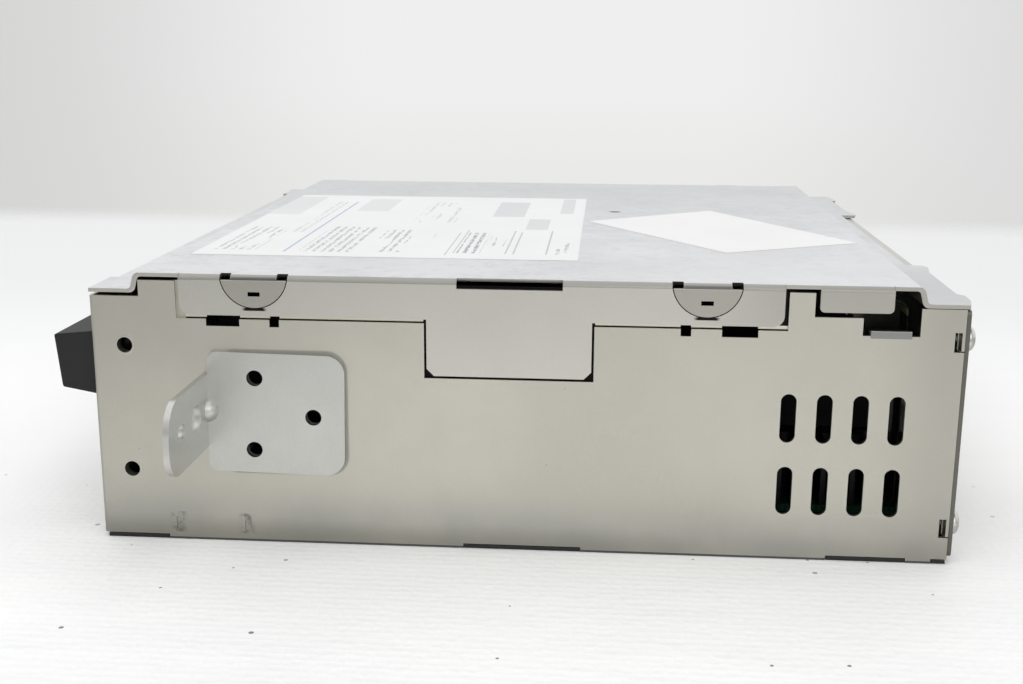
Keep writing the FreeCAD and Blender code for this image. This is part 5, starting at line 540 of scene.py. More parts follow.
feed(shader.inputs["Roughness"], calc(tree, "MULTIPLY_ADD", weave["Grain"], 0.25, 0.28))
embossed(tree, shader, calc(tree, "MAXIMUM", tracks, holes), 0.00004, 0.6)
dress(board_lacquer, "main_board", "riser_board", "front_board")


# Parts on the boards
# Black epoxy chips with tinned legs, capacitors in dark shrink sleeves with bare aluminium tops, a folded
# tinplate shield, a black anodised heat sink and the flat power parts that lean on it, all soldered.
def moulded(name, colour, grain_size, roughness, grain_depth=0.00004, fade=0.25, dusty=0.5, **plain):
    """Injection-moulded plastic with a spark-eroded skin, a little dusty."""
    finish, tree, shader, place = new_finish(name, **plain)
    skin = use_group(tree, plating_grain, Place=place, Grain_Size=grain_size, Cloud_Size=0.02)
    dust = use_group(tree, specks, Place=place, Spacing=0.003, Size=0.06, Share=0.2)["Mask"]
    paler = tuple(min(1.0, part + 0.035) for part in colour[:3]) + (1,)
    tone = tinted(tree, colour, skin["Clouds"], fade, paler)
    tone = tinted(tree, tone, dust, dusty, (0.3, 0.3, 0.29, 1))
    feed(shader.inputs["Base Color"], tone)
    feed(shader.inputs["Roughness"], calc(tree, "MULTIPLY_ADD", skin["Grain"], 0.2, roughness - 0.1))
    embossed(tree, shader, skin["Grain"], grain_depth, 0.7)
    return finish, tree, shader, place, tone


def tinned_legs(kit, top):
    """Bare tinned metal below this height, on a moulded body."""
    finish, tree, shader, place, tone = kit
    legs = below(tree, parts_of(tree, place)["Z"], top)
    feed(shader.inputs["Base Color"], mixed(tree, legs, tone, (0.72, 0.71, 0.68, 1)))
    feed(shader.inputs["Metallic"], legs)
    return finish


CHIP_LEGS_TOP = 0.00836
POWER_LEGS_TOP = 0.0106
chip_epoxy = moulded("chip_epoxy", (0.016, 0.016, 0.017, 1), 0.00012, 0.45, 0.000012)
power_epoxy = moulded("power_epoxy", (0.014, 0.014, 0.014, 1), 0.0002, 0.5, 0.00002)
dress(tinned_legs(chip_epoxy, CHIP_LEGS_TOP), "board_chips")
dress(tinned_legs(power_epoxy, POWER_LEGS_TOP), "power_transistors")

can_sleeve, tree, shader, _, tone = moulded(
    "can_sleeve", (0.010, 0.013, 0.030, 1), 0.0006, 0.32, 0.000004)
bare_top = span(tree, facing(tree)["Z"], 0.72, 0.86)
feed(shader.inputs["Base Color"], mixed(tree, bare_top, tone, (0.80, 0.80, 0.79, 1)))
feed(shader.inputs["Metallic"], bare_top)
dress(can_sleeve, "capacitors")

tinplate = plated_sheet("tinplate", (0.76, 0.755, 0.73, 1), (0.64, 0.635, 0.615, 1),
                        (0.82, 0.815, 0.79, 1), 0.30, cloud_size=0.014)[0]
softened("shield_can", "video_shield", "case", tinplate, 0.00005, steps=1)

black_anodising, tree, shader, place, tone = moulded(
    "black_anodising", (0.020, 0.020, 0.022, 1), 0.0003, 0.42, 0.00001, dusty=0.7)
DIE_LINE_PITCH = 0.00021
drawn = stripes(tree, parts_of(tree, place)["Y"], DIE_LINE_PITCH, 0.5)
feed(shader.inputs["Base Color"], mixed(tree, drawn, tone, (0.034, 0.034, 0.037, 1)))
shader.inputs["Metallic"].default_value = 0.6
softened("heat_sink", "finned_sink", "case", black_anodising, 0.0001, steps=1)


# Sockets and contacts
# Moulded shells of the rear sockets, black for power and sound, grey for the picture and ivory for the
# control lead, with brass contacts pressed in.
black_shell = moulded("black_shell", (0.018, 0.018, 0.020, 1), 0.0004, 0.42, 0.00001)[0]
grey_shell = moulded("grey_shell", (0.060, 0.062, 0.066, 1), 0.0004, 0.42, 0.00001)[0]
ivory_shell = moulded("ivory_shell", (0.50, 0.47, 0.39, 1), 0.0004, 0.42, 0.00001, 0.5)[0]
softened("power_connector", "power_socket", "case", black_shell, 0.00012)
softened("video_connector", "video_socket", "case", grey_shell, 0.00012)
softened("control_connector", "control_socket", "case", ivory_shell, 0.00012)
softened("upper_connector", "upper_socket", "case", black_shell, 0.00018)


def bright_metal(name, colour, shade, roughness, ring_axis="X", ring_pitch=0.00016, cloud_size=0.01):
    """Drawn or turned metal: fine tool rings across one axis, two shades in soft clouds."""
    finish, tree, shader, place = new_finish(name, Metallic=1.0)
    skin = use_group(tree, plating_grain, Place=place, Grain_Size=0.0003, Cloud_Size=cloud_size)
    rings = stripes(tree, parts_of(tree, place)[ring_axis], ring_pitch, 0.5)
    feed(shader.inputs["Base Color"], mixed(tree, skin["Clouds"], colour, shade))
    feed(shader.inputs["Roughness"], calc(tree, "MULTIPLY_ADD", skin["Grain"], 0.14, roughness - 0.07))
    embossed(tree, shader, calc(tree, "MULTIPLY_ADD", rings, 0.6, skin["Grain"]), 0.000006, 0.5)
    return finish


contact_brass = bright_metal("contact_brass", (0.80, 0.62, 0.33, 1), (0.70, 0.53, 0.27, 1), 0.28)
dress(contact_brass, "connector_pins")


# Flat cables
# Thin ribbons: white laminate at the key's board, amber film on the pickup's, and dark film with an
# olive stiffener on the deck's.
def ribbon(name, film, run, across, pitch, roughness=0.35):
    finish, tree, shader, place = new_finish(name)
    spot = parts_of(tree, place)
    runs = stripes(tree, spot[across], pitch, 0.55)
    skin = use_group(tree, plating_grain, Place=place, Grain_Size=0.0005, Cloud_Size=0.008)
    colour = mixed(tree, runs, tinted(tree, film, skin["Clouds"], 0.4, run), run)
    feed(shader.inputs["Base Color"], colour)
    feed(shader.inputs["Roughness"], calc(tree, "MULTIPLY_ADD", skin["Grain"], 0.2, roughness - 0.1))
    embossed(tree, shader, runs, 0.00003, 0.5)
    return finish, tree, shader, place, colour


front_ribbon = ribbon("front_ribbon", (0.66, 0.65, 0.60, 1), (0.40, 0.38, 0.33, 1), "Y", 0.0008)[0]
pickup_film = ribbon("pickup_film", (0.30, 0.12, 0.022, 1), (0.20, 0.075, 0.015, 1), "Y", 0.0007, 0.3)[0]
dress(front_ribbon, "front_board_cable")
dress(pickup_film, "pickup_flex_cable")

STIFFENER_FOOT, STIFFENER_TOP = 0.0499, 0.0513
deck_film, tree, shader, place, colour = ribbon(
    "deck_film", (0.022, 0.021, 0.012, 1), (0.015, 0.014, 0.009, 1), "X", 0.0007)
stiffener = between(tree, parts_of(tree, place)["Z"], STIFFENER_FOOT, STIFFENER_TOP)
feed(shader.inputs["Base Color"], mixed(tree, stiffener, colour, (0.42, 0.39, 0.19, 1)))
dress(deck_film, "deck_flex_cable")


# Deck on its dampers
# The mechanism's blackened steel base floats on four soft rubber grommets over turned steel posts, each
# held by a screw; steel pins riveted into it carry the gears and arms.
deck_steel = plated_sheet("deck_steel", (0.022, 0.022, 0.022, 1), (0.016, 0.016, 0.016, 1),
                          (0.06, 0.06, 0.058, 1), 0.45, cloud_size=0.035)[0]
softened("deck_base", "deck_plate", "case", deck_steel, 0.00008, steps=1)

rubber = moulded("rubber", (0.015, 0.015, 0.015, 1), 0.0005, 0.72, 0.00003, 0.4, 0.8)[0]
dress(rubber, "deck_dampers")
post_steel = bright_metal("post_steel", (0.70, 0.68, 0.62, 1), (0.60, 0.58, 0.53, 1), 0.30, "Z")
pin_steel = bright_metal("pin_steel", (0.74, 0.74, 0.73, 1), (0.64, 0.64, 0.63, 1), 0.18, "Y")
dress(post_steel, "deck_posts")
dress(pin_steel, "mechanism_pins", "clamp_arm_pins")


# Pan head screws
# M3 screws with domed heads and a cross recess, rolled threads, bright nickel: four hold the rear plate,
# four the dampers, and short ones the boards, the traverse and the nose.
def geometry_tree(name, inputs):
    """An empty node tree for shapes, with these named inputs and the finish."""
    tree = bpy.data.node_groups.new(name, "GeometryNodeTree")
    tree.interface.new_socket("Geometry", in_out="INPUT", socket_type="NodeSocketGeometry")
    for label, kind in inputs:
        tree.interface.new_socket(label, in_out="INPUT", socket_type=kind)
    tree.interface.new_socket("Finish", in_out="INPUT", socket_type="NodeSocketMaterial")
    tree.interface.new_socket("Geometry", in_out="OUTPUT", socket_type="NodeSocketGeometry")
    return tree, tree.nodes.new("NodeGroupInput").outputs, tree.nodes.new("NodeGroupOutput").inputs


def finish_tree(tree, given, gives, shape):
    real = put(tree, "GeometryNodeRealizeInstances", {"Geometry": shape}).outputs["Geometry"]
    feed(gives["Geometry"], put(tree, "GeometryNodeSetMaterial", {
        "Geometry": real, "Material": given["Finish"]}).outputs["Geometry"])


def grown(name, tree, start, finish, body, node_name, slot_name, **sizes):
    """Runs a tree once on the start mesh; the plain mesh that comes out stands for the node."""
    maker = bpy.data.objects.new(name + "_maker", start)
    bpy.context.scene.collection.objects.link(maker)
    modifier = maker.modifiers.new("shape", "NODES")
    modifier.node_group = tree
    sockets = {item.name: item.identifier for item in tree.interface.items_tree if item.in_out == "INPUT"}
    modifier[sockets["Finish"]] = finish
    for label, value in sizes.items():
        modifier[sockets[label.replace("_", " ")]] = value
    graph = bpy.context.evaluated_depsgraph_get()
    made = bpy.data.meshes.new_from_object(maker.evaluated_get(graph), depsgraph=graph)
    made.name = name
    maker.modifiers.remove(modifier)
    bpy.data.objects.remove(maker)
    work = bmesh.new()
    work.from_mesh(made)
    if work.calc_volume(signed=True) < 0.0:
        bmesh.ops.reverse_faces(work, faces=work.faces)
    work.to_mesh(made)
    work.free()
    made.set_sharp_from_angle(angle=math.radians(35.0))
    piece = new_piece(name, made, finish)
    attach(piece, body)
    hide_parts(node_name)
    return piece


def solids_of(node_name):
    """The corner points of each separate solid in a node."""
    work = bmesh.new()
    work.from_mesh(nodes[node_name].data)
    bmesh.ops.remove_doubles(work, verts=work.verts, dist=0.000002)
    work.verts.index_update()
    work.verts.ensure_lookup_table()
    reached = set()
    found = []
    for first in range(len(work.verts)):
        if first in reached:
            continue
        reached.add(first)
        solid = [work.verts[first]]
        for corner in solid:
            for rim in corner.link_edges:
                other = rim.other_vert(corner)
                if other.index not in reached:
                    reached.add(other.index)
                    solid.append(other)
        found.append([corner.co.copy() for corner in solid])
    work.free()
    return found


SCREW_HEAD = 0.0020
HEAD_RADIUS = 0.00275
HEAD_RIM = 0.0003
SHANK_RADIUS = 0.00135
THREAD_PITCH = 0.0005
THREAD_ROOT, THREAD_CREST = 0.00122, 0.00144
OVER_SHANK = 0.0024


def screw_seats(node_name):
    """Where each screw's head sits, and the turn that points its head outwards."""
    seats = []
    for corners in solids_of(node_name):
        low = Vector([min(c[k] for c in corners) for k in range(3)])
        high = Vector([max(c[k] for c in corners) for k in range(3)])
        axis = max(range(3), key=lambda k: high[k] - low[k])
        middle = (low + high) / 2
        on_head = [c[axis] for c in corners
                   if (c - middle).length_squared - (c[axis] - middle[axis]) ** 2 > OVER_SHANK ** 2]
        side = 1.0 if sum(on_head) / len(on_head) > middle[axis] else -1.0
        seat = middle.copy()
        seat[axis] = (high[axis] if side > 0 else low[axis]) - side * SCREW_HEAD
        way = Vector([side if k == axis else 0.0 for k in range(3)])
        seats.append((seat, way.to_track_quat("Z", "Y").to_euler()))
    return seats


def screw_shape(name, length):
    """One screw by its outline: threaded shank below, domed head above its seat at nought."""
    outline = [(0.0, -length), (0.00105, -length)]
    for turn in range(int((length - 0.0006) / THREAD_PITCH)):
        outline.append((THREAD_ROOT, -length + THREAD_PITCH * (turn + 0.5)))
        outline.append((THREAD_CREST, -length + THREAD_PITCH * (turn + 1)))
    outline += [(SHANK_RADIUS, -0.0002), (SHANK_RADIUS, 0.0), (HEAD_RADIUS - 0.00003, 0.0),
                (HEAD_RADIUS, 0.0001)]
    for step in range(7):
        rise = math.radians(90.0 * step / 6.0)
        outline.append((HEAD_RADIUS * math.cos(rise) ** 0.62 if step < 6 else 0.0,
                        HEAD_RIM + (SCREW_HEAD - HEAD_RIM) * math.sin(rise) ** 0.85))
    work = bmesh.new()
    corners = [work.verts.new((r, 0.0, z)) for r, z in outline]
    rims = [work.edges.new(pair) for pair in zip(corners, corners[1:])]
    bmesh.ops.spin(work, geom=corners + rims, cent=(0, 0, 0), axis=(0, 0, 1), angle=math.tau, steps=32,
                   use_merge=True)
    bmesh.ops.remove_doubles(work, verts=work.verts, dist=0.000001)
    bmesh.ops.recalc_face_normals(work, faces=work.faces)
    mesh = bpy.data.meshes.new(name)
    work.to_mesh(mesh)
    work.free()
    return bpy.data.objects.new(name, mesh)


cross_screws, given, gives = geometry_tree("cross_screws", [
    ("Screw", "NodeSocketObject"), ("Recess Width", NUMBER), ("Recess Length", NUMBER),
    ("Recess Depth", NUMBER), ("Head Height", NUMBER), ("Spin Seed", "NodeSocketInt")])
one_screw = put(cross_screws, "GeometryNodeObjectInfo", {"Object": given["Screw"]}).outputs["Geometry"]
recess = put(cross_screws, "GeometryNodeMeshBoolean", {"Mesh 1": one_screw}, operation="DIFFERENCE")
deep = put(cross_screws, "ShaderNodeMath", operation="MULTIPLY")
feed(deep.inputs[0], given["Recess Depth"])
feed(deep.inputs[1], 2.0)
lift = put(cross_screws, "ShaderNodeCombineXYZ", {"Z": given["Head Height"]}).outputs["Vector"]
for long_way, wide_way in (("X", "Y"), ("Y", "X")):
    size = put(cross_screws, "ShaderNodeCombineXYZ", {
        long_way: given["Recess Length"], wide_way: given["Recess Width"], "Z": deep.outputs[0]})
    bar = put(cross_screws, "GeometryNodeMeshCube", {"Size": size.outputs["Vector"]}).outputs["Mesh"]
    raised = put(cross_screws, "GeometryNodeTransform", {"Geometry": bar, "Translation": lift})
    feed(recess.inputs["Mesh 2"], raised.outputs["Geometry"])
turn = put(cross_screws, "GeometryNodeInputNamedAttribute", {"Name": "turn"}, data_type="FLOAT_VECTOR")
aimed = put(cross_screws, "FunctionNodeEulerToRotation", {"Euler": turn.outputs["Attribute"]})
chance = put(cross_screws, "FunctionNodeRandomValue", data_type="FLOAT")
feed(chance.inputs[2], 0.0)
feed(chance.inputs[3], math.tau)
feed(chance.inputs["Seed"], given["Spin Seed"])
spin = put(cross_screws, "FunctionNodeAxisAngleToRotation", {"Angle": chance.outputs[1]})
placed = put(cross_screws, "FunctionNodeRotateRotation", {
    "Rotation": aimed.outputs["Rotation"], "Rotate By": spin.outputs["Rotation"]},
    rotation_space="LOCAL").outputs["Rotation"]
spread = put(cross_screws, "GeometryNodeInstanceOnPoints", {
    "Points": given["Geometry"], "Instance": recess.outputs["Mesh"], "Rotation": placed})
finish_tree(cross_screws, given, gives, spread.outputs["Instances"])


def screws(node_name, piece_name, length, finish, seed):
    """Screws of this length for every solid of the node, each turned by chance."""
    seats = screw_seats(node_name)
    start = bpy.data.meshes.new(piece_name + "_seats")
    start.from_pydata([seat for seat, turned_by in seats], [], [])
    turns = start.attributes.new("turn", "FLOAT_VECTOR", "POINT")
    for point, (seat, turned_by) in zip(turns.data, seats):
        point.vector = turned_by
    grown(piece_name, cross_screws, start, finish, "case", node_name, "nickel_screws",
          Screw=screw_shape(piece_name + "_one", length), Recess_Width=0.0008, Recess_Length=0.0030,
          Recess_Depth=0.0011, Head_Height=SCREW_HEAD, Spin_Seed=seed)


screw_nickel = bright_metal(
    "screw_nickel", (0.78, 0.765, 0.73, 1), (0.66, 0.645, 0.61, 1), 0.22, "Z", 0.0003, 0.004)
screws("rear_plate_screws", "plate_screws", 0.006, screw_nickel, 3)
screws("damper_screws", "float_screws", 0.014, screw_nickel, 5)
screws("short_screws", "board_screws", 0.005, screw_nickel, 8)


# Loading train
# A black acetal guide above the disc and a steel arm below it that lifts the rubber-sleeved roller; acetal
# and nylon gears from the loading motor turn the roller, and a nylon slide beside them works the arms.
def nylon(name, colour):
    """Milky plastic that lets a little light in."""
    return moulded(name, colour, 0.0005, 0.40, 0.000006, 0.5, 0.15, Subsurface_Weight=0.15,
                   Subsurface_Scale=0.001)[0]


white_nylon = nylon("white_nylon", (0.78, 0.77, 0.72, 1))
cream_nylon = nylon("cream_nylon", (0.66, 0.61, 0.49, 1))
black_acetal = moulded("black_acetal", (0.020, 0.020, 0.021, 1), 0.0005, 0.36, 0.000008)[0]
softened("upper_disc_guide", "disc_guide", "case", black_acetal, 0.00015)
softened("roller_arm", "roller_cradle", "roller_arm", deck_steel, 0.00008, steps=1)
dress(pin_steel, "roller_shaft")
dress(rubber, "roller_sleeves")
dress(black_acetal, "reduction_gear", "idler_gear")
dress(white_nylon, "roller_gear", "feed_gear")
dress(cream_nylon, "motor_pinion", "feed_pinion")
softened("cam_slider", "cam_slide", "cam_slider", white_nylon, 0.00008, steps=1)


# Motors
# Small cans of drawn, nickel-plated steel with the faint rings of the drawing. One turns the roller, one
# moves the sled and one spins the turntable.
motor_can = bright_metal(
    "motor_can", (0.68, 0.68, 0.665, 1), (0.58, 0.58, 0.565, 1), 0.30, "Y", 0.0003, 0.008)
dress(motor_can, "loading_motor", "feed_motor", "spindle_motor")


# Clamp
# A blackened steel arm over the disc that swings on pins. The black acetal puck at its end presses the
# disc on the turntable.
softened("clamp_arm", "clamp_bridge", "clamp_arm", deck_steel, 0.00008, steps=1)
softened("clamper", "clamp_puck", "clamper", black_acetal, 0.0001)


# Traverse and pickup
# A pressed frame on rubber washers carries the turntable and two ground rods; the die-cast sled slides on
# them with the objective lens in its black holder.
traverse_steel = plated_sheet("traverse_steel", (0.56, 0.56, 0.55, 1), (0.48, 0.48, 0.47, 1),
                              (0.67, 0.67, 0.65, 1), 0.34, cloud_size=0.02)[0]
softened("traverse_frame", "traverse_plate", "case", traverse_steel, 0.00008, steps=1)
dress(rubber, "traverse_washers")
ground_steel = bright_metal(
    "ground_steel", (0.78, 0.78, 0.775, 1), (0.70, 0.70, 0.695, 1), 0.12, "X", 0.0004)
dress(ground_steel, "guide_rods")
softened("turntable", "disc_table", "turntable", black_acetal, 0.00008)

cast_metal = plated_sheet(
    "cast_metal", (0.50, 0.505, 0.51, 1), (0.42, 0.425, 0.43, 1), (0.60, 0.60, 0.60, 1), 0.44,
    grain_size=0.0008, cloud_size=0.01, cloud_depth=0.4)[0]
softened("pickup_sled", "sled_casting", "pickup_sled", cast_metal, 0.00008, steps=1)

LENS_RADIUS = 0.0024
LENS_SEAT = 0.0318
lens_low, lens_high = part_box("objective_lens")
lens_glass, tree, shader, place, tone = moulded(
    "lens_glass", (0.018, 0.018, 0.019, 1), 0.0003, 0.30, 0.000004, IOR=1.6, Coat_Roughness=0.02)
spot = parts_of(tree, place)
off_x = calc(tree, "SUBTRACT", spot["X"], (lens_low.x + lens_high.x) / 2)
off_y = calc(tree, "SUBTRACT", spot["Y"], (lens_low.y + lens_high.y) / 2)
off_axis = calc(tree, "SQRT", calc(tree, "ADD", calc(tree, "MULTIPLY", off_x, off_x),
                                   calc(tree, "MULTIPLY", off_y, off_y)))
clear = calc(tree, "MULTIPLY", span(tree, off_axis, LENS_RADIUS + 0.0002, LENS_RADIUS),
             span(tree, spot["Z"], LENS_SEAT, LENS_SEAT + 0.0003))
bloom = mixed(tree, span(tree, off_axis, 0.0, LENS_RADIUS), (0.05, 0.09, 0.22, 1), (0.10, 0.04, 0.20, 1))
feed(shader.inputs["Base Color"], mixed(tree, clear, tone, bloom))
feed(shader.inputs["Roughness"], calc(tree, "MULTIPLY_ADD", clear, -0.25, 0.30))
feed(shader.inputs["Coat Weight"], clear)
dress(lens_glass, "objective_lens")


# Nose, slot door and eject key
# The nose is one dark moulding on the case's front with the disc slot through it. A hinged strip
# behind the slot keeps dust out, and the eject key sits beside it.
nose_plastic = moulded("nose_plastic", (0.013, 0.013, 0.014, 1), 0.0003, 0.60, Specular_IOR_Level=0.35)[0]
key_plastic = moulded("key_plastic", (0.040, 0.040, 0.043, 1), 0.0004, 0.38, 0.00001)[0]
softened("slot_nose", "nose", "case", nose_plastic, 0.0004)
softened("slot_door", "dust_door", "slot_door", key_plastic, 0.00012)
softened("eject_button", "eject_key", "eject_button", key_plastic, 0.0003)
softened("eject_switch", "key_switch", "case", black_shell, 0.00008, steps=1)


# Springs
# Music wire: a coil with closed ends behind the eject key, and a torsion spring round the door's hinge
# whose leg stands against the wall.
wire, given, gives = geometry_tree("wire", [("Wire Radius", NUMBER)])
line = put(wire, "GeometryNodeMeshToCurve", {"Mesh": given["Geometry"]}).outputs["Curve"]
ring = put(wire, "GeometryNodeCurvePrimitiveCircle", {"Resolution": 12, "Radius": given["Wire Radius"]})
tube = put(wire, "GeometryNodeCurveToMesh", {"Curve": line, "Profile Curve": ring.outputs["Curve"],
                                             "Fill Caps": True}).outputs["Mesh"]
smooth = put(wire, "GeometryNodeSetShadeSmooth", {"Geometry": tube}).outputs["Geometry"]
finish_tree(wire, given, gives, smooth)


def wire_line(name, points):
    mesh = bpy.data.meshes.new(name)
    mesh.from_pydata(points, [(k, k + 1) for k in range(len(points) - 1)], [])
    return mesh


spring_wire = bright_metal(
    "spring_wire", (0.72, 0.71, 0.69, 1), (0.60, 0.59, 0.57, 1), 0.20, "Z", 0.0002, 0.003)
KEY_WIRE = 0.000175
KEY_TURNS = 6
STEPS_A_TURN = 24
key_low, key_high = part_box("eject_button_spring")
key_middle = (key_low + key_high) / 2
key_radius = (key_high.y - key_low.y) / 2 - KEY_WIRE
key_reach = key_high.x - key_low.x - 2 * KEY_WIRE
closed_rise = 2 * KEY_WIRE
coil_points = []
for step in range(KEY_TURNS * STEPS_A_TURN + 1):
    turns_done = step / STEPS_A_TURN
    open_share = min(max((turns_done - 1) / (KEY_TURNS - 2), 0.0), 1.0)
    ends = min(turns_done, 1.0) + max(turns_done - (KEY_TURNS - 1), 0.0)
    x = key_low.x + KEY_WIRE + closed_rise * ends + (key_reach - 2 * closed_rise) * open_share
    angle = math.tau * turns_done
    coil_points.append((x, key_middle.y + key_radius * math.cos(angle),
                        key_middle.z + key_radius * math.sin(angle)))
key_spring = grown("key_spring", wire, wire_line("key_coil", coil_points), spring_wire, "case",
                   "eject_button_spring", "spring_steel", Wire_Radius=KEY_WIRE)
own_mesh(key_spring)

DOOR_WIRE = 0.0002
DOOR_TURNS = 3
DOOR_STEPS = 20
HINGE_X, HINGE_Z = -0.0860, 0.0430
HINGE_RADIUS = 0.0019
door_low, door_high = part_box("door_spring")
door_reach = door_high.y - door_low.y - 2 * DOOR_WIRE
door_points = [(HINGE_X - HINGE_RADIUS, door_high.y - DOOR_WIRE, door_high.z - DOOR_WIRE)]
for step in range(DOOR_TURNS * DOOR_STEPS + 1):
    angle = math.pi + math.tau * step / DOOR_STEPS
    reach = door_reach * step / (DOOR_TURNS * DOOR_STEPS)
    door_points.append((HINGE_X + HINGE_RADIUS * math.cos(angle), door_high.y - DOOR_WIRE - reach,
                        HINGE_Z + HINGE_RADIUS * math.sin(angle)))
grown("hinge_spring", wire, wire_line("hinge_coil", door_points), spring_wire, "case", "door_spring",
      "spring_steel", Wire_Radius=DOOR_WIRE)


# Rear plate
# Flat plated sheet with its top edge folded, punched for the sockets and vents, held by four screws. Its
# cut ends at the sides are painted dark, as painted shade.
plate_steel, tree, shader, place, colour = flat_steel("plate_steel")
sideways = calc(tree, "ABSOLUTE", facing(tree)["Y"])
outward = calc(tree, "ABSOLUTE", parts_of(tree, place)["Y"])
shaded_cut_end = all_of(tree, above(tree, sideways, 0.5), above(tree, outward, WALL_FACE - 0.001))
feed(shader.inputs["Base Color"], tinted(tree, colour, shaded_cut_end, 0.85, (0.10, 0.095, 0.08, 1)))
softened("rear_plate", "back_plate", "case", plate_steel)


# Lid
# Pressed cover of lighter galvanised sheet: raised middle, shelves at front and rear, skirts that clip
# over the walls. Painted a paler, cooler grey on top than on the skirts, as painted light, and scuffed by
# handling.
lid_steel, tree, shader, place, colour = plated_sheet(
    "lid_steel", (0.700, 0.688, 0.640, 1), (0.632, 0.622, 0.580, 1), (0.58, 0.575, 0.545, 1), 0.38,
    cloud_size=0.045, scuff_share=0.55, cloud_depth=0.5)
spot = parts_of(tree, place)
upright = facing(tree)["Z"]
flat_top = span(tree, upright, 0.5, 0.95)
rub = use_group(tree, scuffs, Place=place, Size=0.016, Share=0.62)["Mask"]
# The top gets its own paler, cooler grey than the skirts: painted light, under real scuffs and mottling.
lit_top_and_wear = mixed(tree, span(tree, noise(tree, place, 0.03, 4.0, 0.65), 0.32, 0.68), (0.775, 0.777, 0.780, 1),
             (0.690, 0.692, 0.696, 1))
lit_top_and_wear = tinted(tree, lit_top_and_wear, rub, 0.5, (0.46, 0.46, 0.465, 1))
mottle = span(tree, noise(tree, place, 0.0035, 3.0, 0.6), 0.46, 0.72)
lit_top_and_wear = tinted(tree, lit_top_and_wear, mottle, 0.30, (0.50, 0.503, 0.51, 1))
# The far side is painted darker, the near side's rear half paler and the rear shelf darker again: painted
# shade and painted light.
far_side_shade = span(tree, spot["Y"], -0.05, 0.07)
near_rear_light = all_of(tree, span(tree, spot["X"], 0.0, 0.05), span(tree, spot["Y"], -0.02, -0.07))
rear_shelf_shade = all_of(tree, span(tree, spot["X"], 0.0800, 0.0815), span(tree, spot["Y"], -0.03, -0.06))
lit_top_and_wear = tinted(tree, lit_top_and_wear, far_side_shade, 0.45, (0.55, 0.552, 0.555, 1))
lit_top_and_wear = tinted(tree, lit_top_and_wear, near_rear_light, 0.5, (0.80, 0.80, 0.80, 1))
lit_top_and_wear = tinted(tree, lit_top_and_wear, rear_shelf_shade, 0.45, (0.44, 0.44, 0.445, 1))
# Towards the rear the skirts are painted darker: painted shade.
colour = tinted(tree, colour, span(tree, spot["X"], 0.030, 0.058), 0.5, (0.40, 0.39, 0.36, 1))
colour = mixed(tree, flat_top, colour, lit_top_and_wear)
# The folds down to the skirts are painted darker than the sheet, as painted shade, and the bends over the
# latches darker still. The lowest edge of each half-round latch stands in from the skirt, and a dark sickle
# of painted shade lies under it.
SKIRT_FACE = -0.0870
BEND_FOOT, BEND_TOP = 0.0562, 0.0576
SICKLE_FOOT, SICKLE_TOP = 0.0504, 0.0510
fold_shade = all_of(tree, between(tree, upright, 0.10, 0.93), below(tree, spot["Y"], SKIRT_FACE + 0.0002))
colour = tinted(tree, colour, fold_shade, 0.8, (0.34, 0.335, 0.31, 1))
near_side = below(tree, spot["Y"], SKIRT_FACE)
for latch_x in LATCHES_X:
    across = distance_from(tree, spot["X"], latch_x)
    bend_shade = all_of(tree, span(tree, across, 0.0049, 0.0046), near_side,
                  above(tree, spot["Z"], BEND_FOOT), span(tree, spot["Z"], BEND_TOP, BEND_TOP - 0.0005))
    sickle_shade = all_of(tree, span(tree, across, 0.0028, 0.0018), near_side,
                    between(tree, spot["Z"], SICKLE_FOOT, SICKLE_TOP))
    colour = tinted(tree, colour, bend_shade, 0.8, (0.10, 0.10, 0.10, 1))
    colour = mixed(tree, sickle_shade, colour, (0.02, 0.02, 0.02, 1))
# A small dark mark stands out on the flat, and grit lies on the shelf behind it.
from_mark = put(tree, "ShaderNodeMapping", {"Vector": place, "Location": (-0.0199, -0.0174, -0.0575)})
mark_far = put(tree, "ShaderNodeVectorMath", {0: from_mark.outputs["Vector"]}, operation="LENGTH")
colour = mixed(tree, span(tree, mark_far.outputs["Value"], 0.0022, 0.0010), colour, (0.12, 0.12, 0.12, 1))
shelf = calc(tree, "MULTIPLY", span(tree, spot["X"], 0.074, 0.080), span(tree, spot["Y"], -0.02, -0.06))
grit = use_group(tree, specks, Place=place, Spacing=0.0019, Size=0.10, Share=0.5)["Mask"]
colour = tinted(tree, colour, calc(tree, "MULTIPLY", grit, shelf), 0.6, (0.20, 0.20, 0.20, 1))
feed(shader.inputs["Base Color"], colour)
softened("top_cover", "lid", "case", lid_steel, 0.00028)


# Labels
# Two thin coated paper labels stuck on the lid: the larger one printed with plain grey rows, rules and
# bars and one thin blue line, the smaller one bare. Handling has left faint creases and a few specks.
def paper(name, colour):
    finish, tree, shader, place = new_finish(name, Specular_IOR_Level=0.35)
    skin = use_group(tree, plating_grain, Place=place, Grain_Size=0.0006, Cloud_Size=0.03)
    dust = use_group(tree, specks, Place=place, Spacing=0.006, Size=0.035, Share=0.3)["Mask"]
    creases = use_group(tree, scuffs, Place=place, Size=0.03, Share=0.4)["Mask"]
    shade = tuple(part * 0.95 for part in colour[:3]) + (1,)
    tone = tinted(tree, colour, skin["Clouds"], 0.6, shade)
    tone = tinted(tree, tone, creases, 0.15, (0.6, 0.6, 0.6, 1))
    tone = tinted(tree, tone, dust, 0.6, (0.25, 0.25, 0.25, 1))
    feed(shader.inputs["Base Color"], tone)
    feed(shader.inputs["Roughness"], calc(tree, "MULTIPLY_ADD", skin["Grain"], 0.2, 0.42))
    embossed(tree, shader, calc(tree, "MULTIPLY_ADD", creases, 1.5, skin["Grain"]), 0.00003, 0.4)
    return finish, tree, shader, place, tone


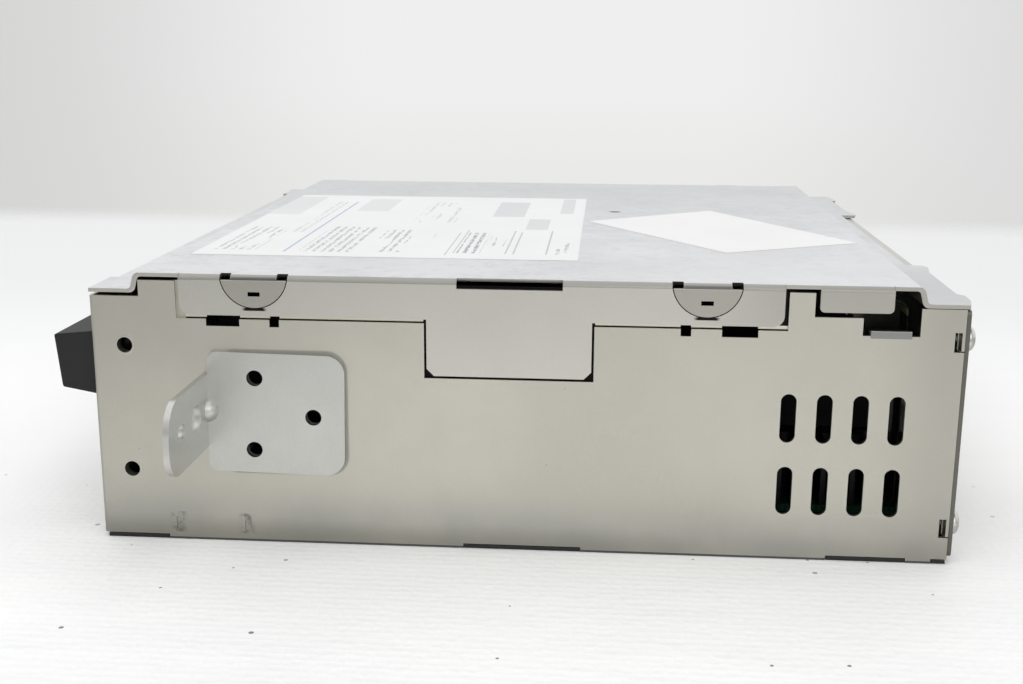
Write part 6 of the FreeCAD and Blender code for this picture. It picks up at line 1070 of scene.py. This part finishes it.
printed_paper, tree, shader, place, tone = paper("printed_paper", (0.84, 0.84, 0.835, 1))
spot = parts_of(tree, place)
GREY_INK = (0.30, 0.31, 0.33, 1)
BLUE_INK = (0.22, 0.32, 0.55, 1)
squeezed = put(tree, "ShaderNodeMapping", {"Vector": place, "Scale": (6.0, 1.0, 1.0)}).outputs["Vector"]
broken = calc(tree, "MULTIPLY", span(tree, noise(tree, squeezed, 0.0022, 0.0), 0.36, 0.50),
              above(tree, noise(tree, squeezed, 0.040, 1.0), 0.42))
strokes = calc(tree, "MULTIPLY", stripes(tree, spot["X"], 0.0019, 0.55), broken)
# Rows of print, solid blocks and thin rules: each runs from x to x and from y to y, in millimetres, and
# takes this share of ink.
PRINT_ROWS = ((-71.5, -62.0, -58, -22, 0.55), (-52.0, -39.5, -59, -20, 0.60),
              (-37.0, -24.0, -58, -24, 0.60), (-16.1, -10.8, -58, -27, 0.80), (-10.1, -6.1, -47, -30, 0.60),
              (6.0, 10.0, -58, -29, 0.60), (-60.5, -56.5, -30, 30, 0.30), (-33.0, -22.0, -10, 32, 0.35))
BLOCKS = ((-76.0, -66.0, 2, 41, 0.20), (-52.0, -43.0, 11, 37, 0.20), (-13.2, -4.6, 3, 34, 0.30),
          (-2.8, 2.8, -20, -1, 0.28), (4.8, 8.5, 11, 43, 0.28))
RULES = ((-18.5, -18.2, -61, -27, 0.55), (-16.9, -16.6, -58, -22, 0.55), (-5.2, -4.8, -58, -23, 0.55),
         (-3.4, -3.0, -58, -25, 0.55), (4.0, 4.4, -58, -22, 0.60))
for fields, ink in ((PRINT_ROWS, strokes), (BLOCKS + RULES, 1.0)):
    for x0, x1, y0, y1, share in fields:
        field = all_of(tree, between(tree, spot["X"], x0 / 1000, x1 / 1000),
                       between(tree, spot["Y"], y0 / 1000, y1 / 1000), ink)
        tone = tinted(tree, tone, field, share, GREY_INK)
blue_rule = all_of(tree, between(tree, spot["X"], -0.0553, -0.0548), between(tree, spot["Y"], -0.060, 0.030))
tone = tinted(tree, tone, blue_rule, 0.7, BLUE_INK)
feed(shader.inputs["Base Color"], tone)
dress(printed_paper, "rating_label")
dress(paper("bare_paper", (0.85, 0.85, 0.84, 1))[0], "service_sticker")
